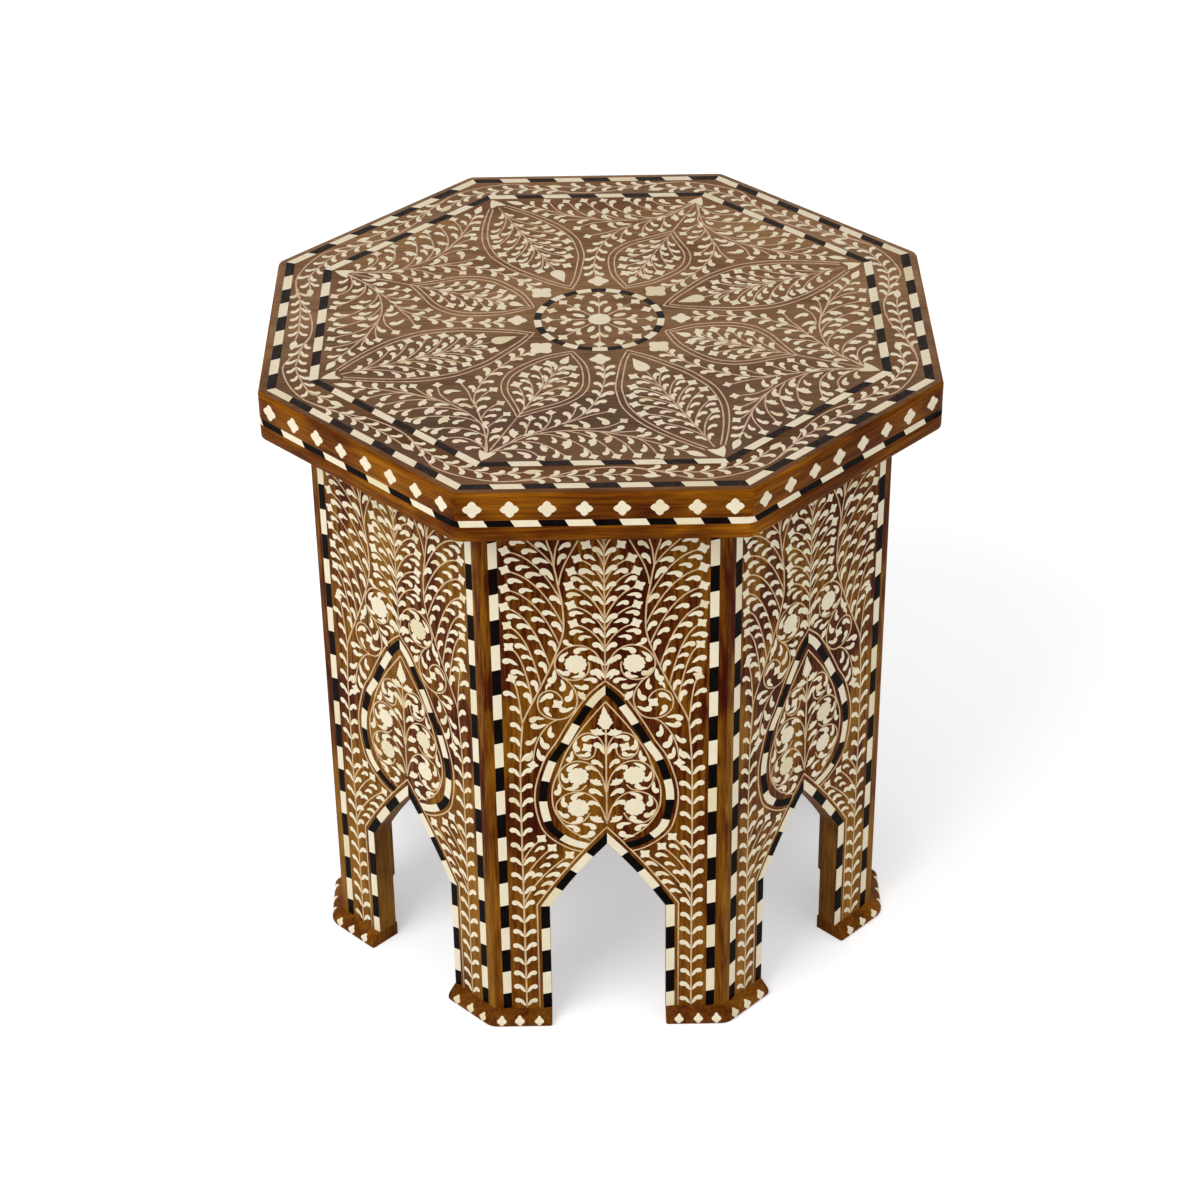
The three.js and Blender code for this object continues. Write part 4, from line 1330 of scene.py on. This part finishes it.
def drawField():
    field, quarter, ray, d = newDrawing(), newDrawing(), newDrawing(), topDesign
    corner, quarterTurn = sideTurn / 2, math.tau / 4
    addDrawing(quarter, turned(drawPetal(bigPetal, True), corner + quarterTurn))
    addDrawing(quarter, turned(drawPetal(smallPetal, False), corner + sideTurn + quarterTurn))
    spray = drawSpray()
    addDrawing(quarter, spray)
    addDrawing(quarter, turned(mirrored(turned(spray, corner)), -corner))
    reach = d["cornerPiece"] * d["scale"] - d["cornerBack"]
    for way in (corner, corner + sideTurn):
        quarter["motifs"].append(("bell", *spoke(reach, way), way + math.pi, d["cornerSize"], 1))
    for k in range(4):
        addDrawing(field, turned(quarter, k * quarterTurn))
    addStem(ray, [(d["rayFirst"], 0), ((d["rayFirst"] + d["rayLast"]) / 2, 0), (d["rayLast"], 0)])
    for side in (1, -1):
        way = -side * math.radians(d["rayLeafSpread"])
        ray["motifs"].append(("leaf", d["rayLeaves"], 0, way, d["rayLeafSize"], side))
    for way in (0, corner):
        addCentredStar(ray, *spoke(d["smallStars"], way), way, d["smallStarSize"])
    ray["motifs"].append(("oval", *spoke(d["ovals"], corner), corner, 1, 1))
    for k in range(sideCount):
        way = k * sideTurn
        addDrawing(field, turned(ray, way))
        field["motifs"].append(("diamond", *spoke(d["scallops"], way), way, d["scallopSizes"][k % 2], 1))
    field["motifs"].append(("disc", 0, 0, 0, 1, 1))
    return field


def drawBorder():
    side, b = newDrawing(), borderDesign

    def onThis(points):
        return [(x, -y) for x, y in points]

    def onNext(points):     # the same points on the side that follows
        return [turnedPoint(x, -y, sideTurn) for x, y in points]

    corner = spoke(b["cornerRadius"], (sideTurn - math.pi) / 2)
    wave = smoothLine([*onThis(b["wave"]), corner, *onNext(b["wave"][:2])])
    addStem(side, wave[:-lineSteps])
    outer = addStem(side, smoothLine(onThis(b["outerStem"])))
    inner = addStem(side, smoothLine([*onThis(b["innerStem"]), *onNext(b["innerStemNext"])]))
    for stem, (first, every, stop) in ((outer, b["outerPairs"]), (inner, b["innerPairs"])):
        for hand in (1, -1):
            addLeaves(side, stem, first, every, hand, b["pairSpread"], b["pairSize"], stop)
        x, y, way = pointAt(stem, lineLength(stem) - touch)
        side["motifs"].append(("lance", x, y, way, 1.0, 1))
    border = newDrawing()
    for k in range(sideCount):
        addDrawing(border, turned(side, k * sideTurn))
    return border


# a string all round the top, side by side, mitred on the corners
def roundBlocks(inset, count, flips):
    wide, blocks, front = topDesign["stringWide"], [], []
    apothem = topApothem - inset - wide / 2
    half, gap = apothem * halfSide, inlay["joint"] / 2
    c, s = spoke(1, sideTurn / 2)
    addMitred(front, [(-half, -apothem), (half, -apothem)], wide, count, False,
              [((c, s), -gap), ((-c, s), -gap)], -topDesign["slant"])
    for k in range(sideCount):
        blocks += [([turnedPoint(x, y, k * sideTurn) for x, y in outline], bone != (flips and k % 2 == 1))
                   for outline, bone in front]
    return blocks


def layBlocks(name, blocks, bone, ebony, dice, face=topFace, nodes=(), change=None):
    for kind, material, slot in (("bone", bone, "bone"), ("ebony", ebony, "ebony")):
        mesh = blockMesh(name, [outline for outline, white in blocks if white == (kind == "bone")], dice)
        if change:
            change(mesh)
        mesh.transform(face)
        piece = newPiece(f"{name}_{kind}", mesh, slot, material, glueAndShadeLine)
        if nodes:
            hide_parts(*nodes)


# lays a flat strip (run, height) round the rounded edge of the top
def wrapRound(mesh):
    corner = topDesign["edgeCorner"]
    for vertex in mesh.vertices:
        run, height, out = vertex.co.x / mm + edgeHalf, vertex.co.y / mm, vertex.co.z / mm
        side, along = divmod(run, edgePeriod)
        if along <= 2 * edgeHalf:
            x, y = along - edgeHalf, -(edgeApothem + out)
        else:
            way = (along - 2 * edgeHalf) / corner
            x = edgeHalf + (corner + out) * math.sin(way)
            y = -(edgeApothem - corner) - (corner + out) * math.cos(way)
        x, y = turnedPoint(x, y, side * sideTurn)
        vertex.co = (x * mm, y * mm, height * mm)


def edgeBlocks():
    d, blocks, lengths = topDesign, [], []
    for k in range(sideCount):
        count = d["edgeBlocks"][k % 2]
        lengths += [edgePeriod / count] * count
    height = topHeight - d["edgeDrop"] - d["edgeWide"] / 2
    start, steps = -edgePeriod / 2 + d["edgeSlant"], d["edgeSteps"]
    line = [(start + edgePeriod * sideCount * i / steps, height) for i in range(steps + 1)]
    addChecker(blocks, line, d["edgeWide"], lengths, True, -d["edgeSlant"], d["edgeStep"])
    return blocks


def ringBlocks():
    d, blocks = topDesign, []
    line = [spoke(d["ringRadius"], math.tau * i / d["ringSteps"]) for i in range(d["ringSteps"] + 1)]
    lengths = [lineLength(line) / d["ringBlocks"]] * d["ringBlocks"]
    addChecker(blocks, line, d["ringWide"], lengths, False, 0, d["ringStep"])
    return blocks


dice = random.Random(23)
d = topDesign
layBlocks("top_outer_blocks", roundBlocks(d["outerInset"], d["outerBlocks"], True), topBone, sheenTopEbony, dice,
          nodes=("top_outer_string",))
layBlocks("top_inner_blocks", roundBlocks(d["innerInset"], d["innerBlocks"], False), topBone, sheenTopEbony, dice,
          nodes=("top_inner_string",))
layBlocks("top_ring_blocks", ringBlocks(), topBone, sheenTopEbony, dice)
layBlocks("edge_blocks", edgeBlocks(), sideBone, sideEbony, dice, Matrix.Identity(4),
          ("top_edge_string",), wrapRound)

fieldDrawing, borderDrawing = drawField(), drawBorder()
layMotifs("top_field_leaves", fieldDrawing, topFace, random.Random(31), topBone, "bone")
layMotifs("top_border_leaves", borderDrawing, topFace, random.Random(37), topBone, "bone")
for name, drawing in (("field", fieldDrawing), ("border", borderDrawing)):
    mesh = stemMesh(f"{name}Stems", drawing["stems"])
    layMesh(f"top_{name}_stems", mesh, topFace, "bone", topStemWood, glueAndShadeLine)
edgeDrawing = newDrawing()
edgeDrawing["motifs"] = [("diamond", side * x, drawnHeight - d["edgeDiamondDrop"], 0, 1, 1)
                         for x in d["edgeDiamonds"] for side in (1, -1)]
for k in range(sideCount):
    layMotifs(f"edge_diamonds_{k + 1}", edgeDrawing, faceOfSide(k, topApothem - inlay["proud"]),
              random.Random(200 + k), sideBone, "bone")
print("top ready:", len(fieldDrawing["motifs"]) + len(borderDrawing["motifs"]), "motifs")


# Small diamonds bent over the nose of the foot moulding

footDesign = {
    "places": (50, 64, 77), "middle": 5.2, "wideShare": 0.58, "tallShare": 0.735, "blend": 0.4,
    # past the panel's face, height
    "nose": [(7.2, 0), (8, 1.1), (8.4, 2.2), (8.4, 4.4), (7.22, 6.6), (4.37, 8.8), (0, 11)],
}


def bendOverNose(mesh):
    nose, blend, run = footDesign["nose"], footDesign["blend"], 0
    middle = runTo(nose, footDesign["middle"])
    cage = bmesh.new()
    cage.from_mesh(mesh)
    for a, b in zip(nose[:-2], nose[1:]):
        run += math.dist(a, b)
        cutAcross(cage, (0, (run - middle) * mm, 0), (0, 1, 0))
    for vertex in cage.verts:
        run = middle + vertex.co.y / mm
        x, y = pointAt(nose, run)[:2]
        before, after = (pointAt(nose, run + step)[2] for step in (-blend, blend))
        facing = (before + after) / 2 - math.pi / 2
        rise = vertex.co.z / mm - inlay["sunk"]
        vertex.co.y = -(baseApothem + x + rise * math.cos(facing)) * mm
        vertex.co.z = (y + rise * math.sin(facing)) * mm
    cage.to_mesh(mesh)
    cage.free()


smallDiamond = masters["diamond", 1].copy()
smallDiamond.transform(Matrix.Diagonal((footDesign["wideShare"], footDesign["tallShare"], 1, 1)))
masters["smallDiamond", 1] = smallDiamond
footDrawing = newDrawing()
footDrawing["motifs"] = [("smallDiamond", side * x, 0, 0, 1, 1) for x in footDesign["places"] for side in (1, -1)]
for k in range(sideCount):
    piece = layMotifs(f"foot_diamonds_{k + 1}", footDrawing, Matrix.Identity(4), random.Random(300 + k),
                      sideBone, "bone")
    bendOverNose(piece.data)
    piece.data.transform(Matrix.Rotation(k * sideTurn, 4, "Z"))
print("feet ready")


# The stage, the lamps and the camera

studio = {"floorColour": (0.86, 0.86, 0.87, 1), "floorGlow": 0.45, "worldLight": 0.62, "keyPower": 38,
          "keySize": 1.6, "keyPlace": (-1.25, -1.35, 2.3), "fillPower": 3, "fillSize": 1.6,
          "fillPlace": (1.6, -1.6, 1.2)}


def seenRays(nodes, links):
    path = nodes.new("ShaderNodeLightPath")
    seen = calculate(nodes, links, "MAXIMUM", path.outputs["Is Camera Ray"], path.outputs["Is Glossy Ray"])
    return calculate(nodes, links, "MAXIMUM", seen, path.outputs["Is Transmission Ray"])


def makeFloor():
    bpy.ops.mesh.primitive_plane_add(size=30, location=(0, 0, 0))
    floor = bpy.context.object
    floor.name = "floor"
    material = bpy.data.materials.new("floorPaper")
    material.use_nodes = True
    nodes, links = material.node_tree.nodes, material.node_tree.links
    nodes.remove(nodes["Principled BSDF"])
    diffuse = nodes.new("ShaderNodeBsdfDiffuse")
    diffuse.inputs["Color"].default_value = studio["floorColour"]
    glow = nodes.new("ShaderNodeEmission")
    links.new(calculate(nodes, links, "MULTIPLY", seenRays(nodes, links), studio["floorGlow"]),
              glow.inputs["Strength"])
    total = nodes.new("ShaderNodeAddShader")
    links.new(diffuse.outputs["BSDF"], total.inputs[0])
    links.new(glow.outputs["Emission"], total.inputs[1])
    links.new(total.outputs["Shader"], nodes["Material Output"].inputs["Surface"])
    floor.data.materials.append(material)


def makeWorld():
    world = bpy.data.worlds.new("studioWorld")
    world.use_nodes = True
    nodes, links = world.node_tree.nodes, world.node_tree.links
    background = nodes["Background"]
    background.inputs["Color"].default_value = (1, 1, 1, 1)
    extra = calculate(nodes, links, "MULTIPLY", seenRays(nodes, links), 1 - studio["worldLight"])
    links.new(calculate(nodes, links, "ADD", extra, studio["worldLight"]), background.inputs["Strength"])
    bpy.context.scene.world = world


def addLamp(name, place, power, size):
    lamp = bpy.data.lights.new(name, "AREA")
    lamp.energy, lamp.size = power, size
    piece = bpy.data.objects.new(name, lamp)
    bpy.context.scene.collection.objects.link(piece)
    piece.location = place
    piece.rotation_euler = (Vector((0, 0, 0.25)) - Vector(place)).to_track_quat("-Z", "Y").to_euler()


cameraPose = {"place": (-10.69, -1867.35, 1470.75), "yaw": 0.2694, "pitch": -33.5957, "roll": -0.7121,
              "lens": 91.9, "sensor": 36}


def makeCamera():
    data = bpy.data.cameras.new("camera")
    data.lens, data.sensor_width = cameraPose["lens"], cameraPose["sensor"]
    piece = bpy.data.objects.new("camera", data)
    bpy.context.scene.collection.objects.link(piece)
    aim = (Matrix.Rotation(-math.radians(cameraPose["yaw"]), 4, "Z")
           @ Matrix.Rotation(math.radians(90 + cameraPose["pitch"]), 4, "X")
           @ Matrix.Rotation(math.radians(cameraPose["roll"]), 4, "Z"))
    piece.matrix_world = Matrix.Translation(Vector(cameraPose["place"]) * mm) @ aim
    bpy.context.scene.camera = piece


makeFloor()
makeWorld()
addLamp("keyLamp", studio["keyPlace"], studio["keyPower"], studio["keySize"])
addLamp("fillLamp", studio["fillPlace"], studio["fillPower"], studio["fillSize"])
makeCamera()
bpy.data.objects.remove(profile)
bpy.context.scene.view_settings.view_transform = "Standard"

print("stool ready")
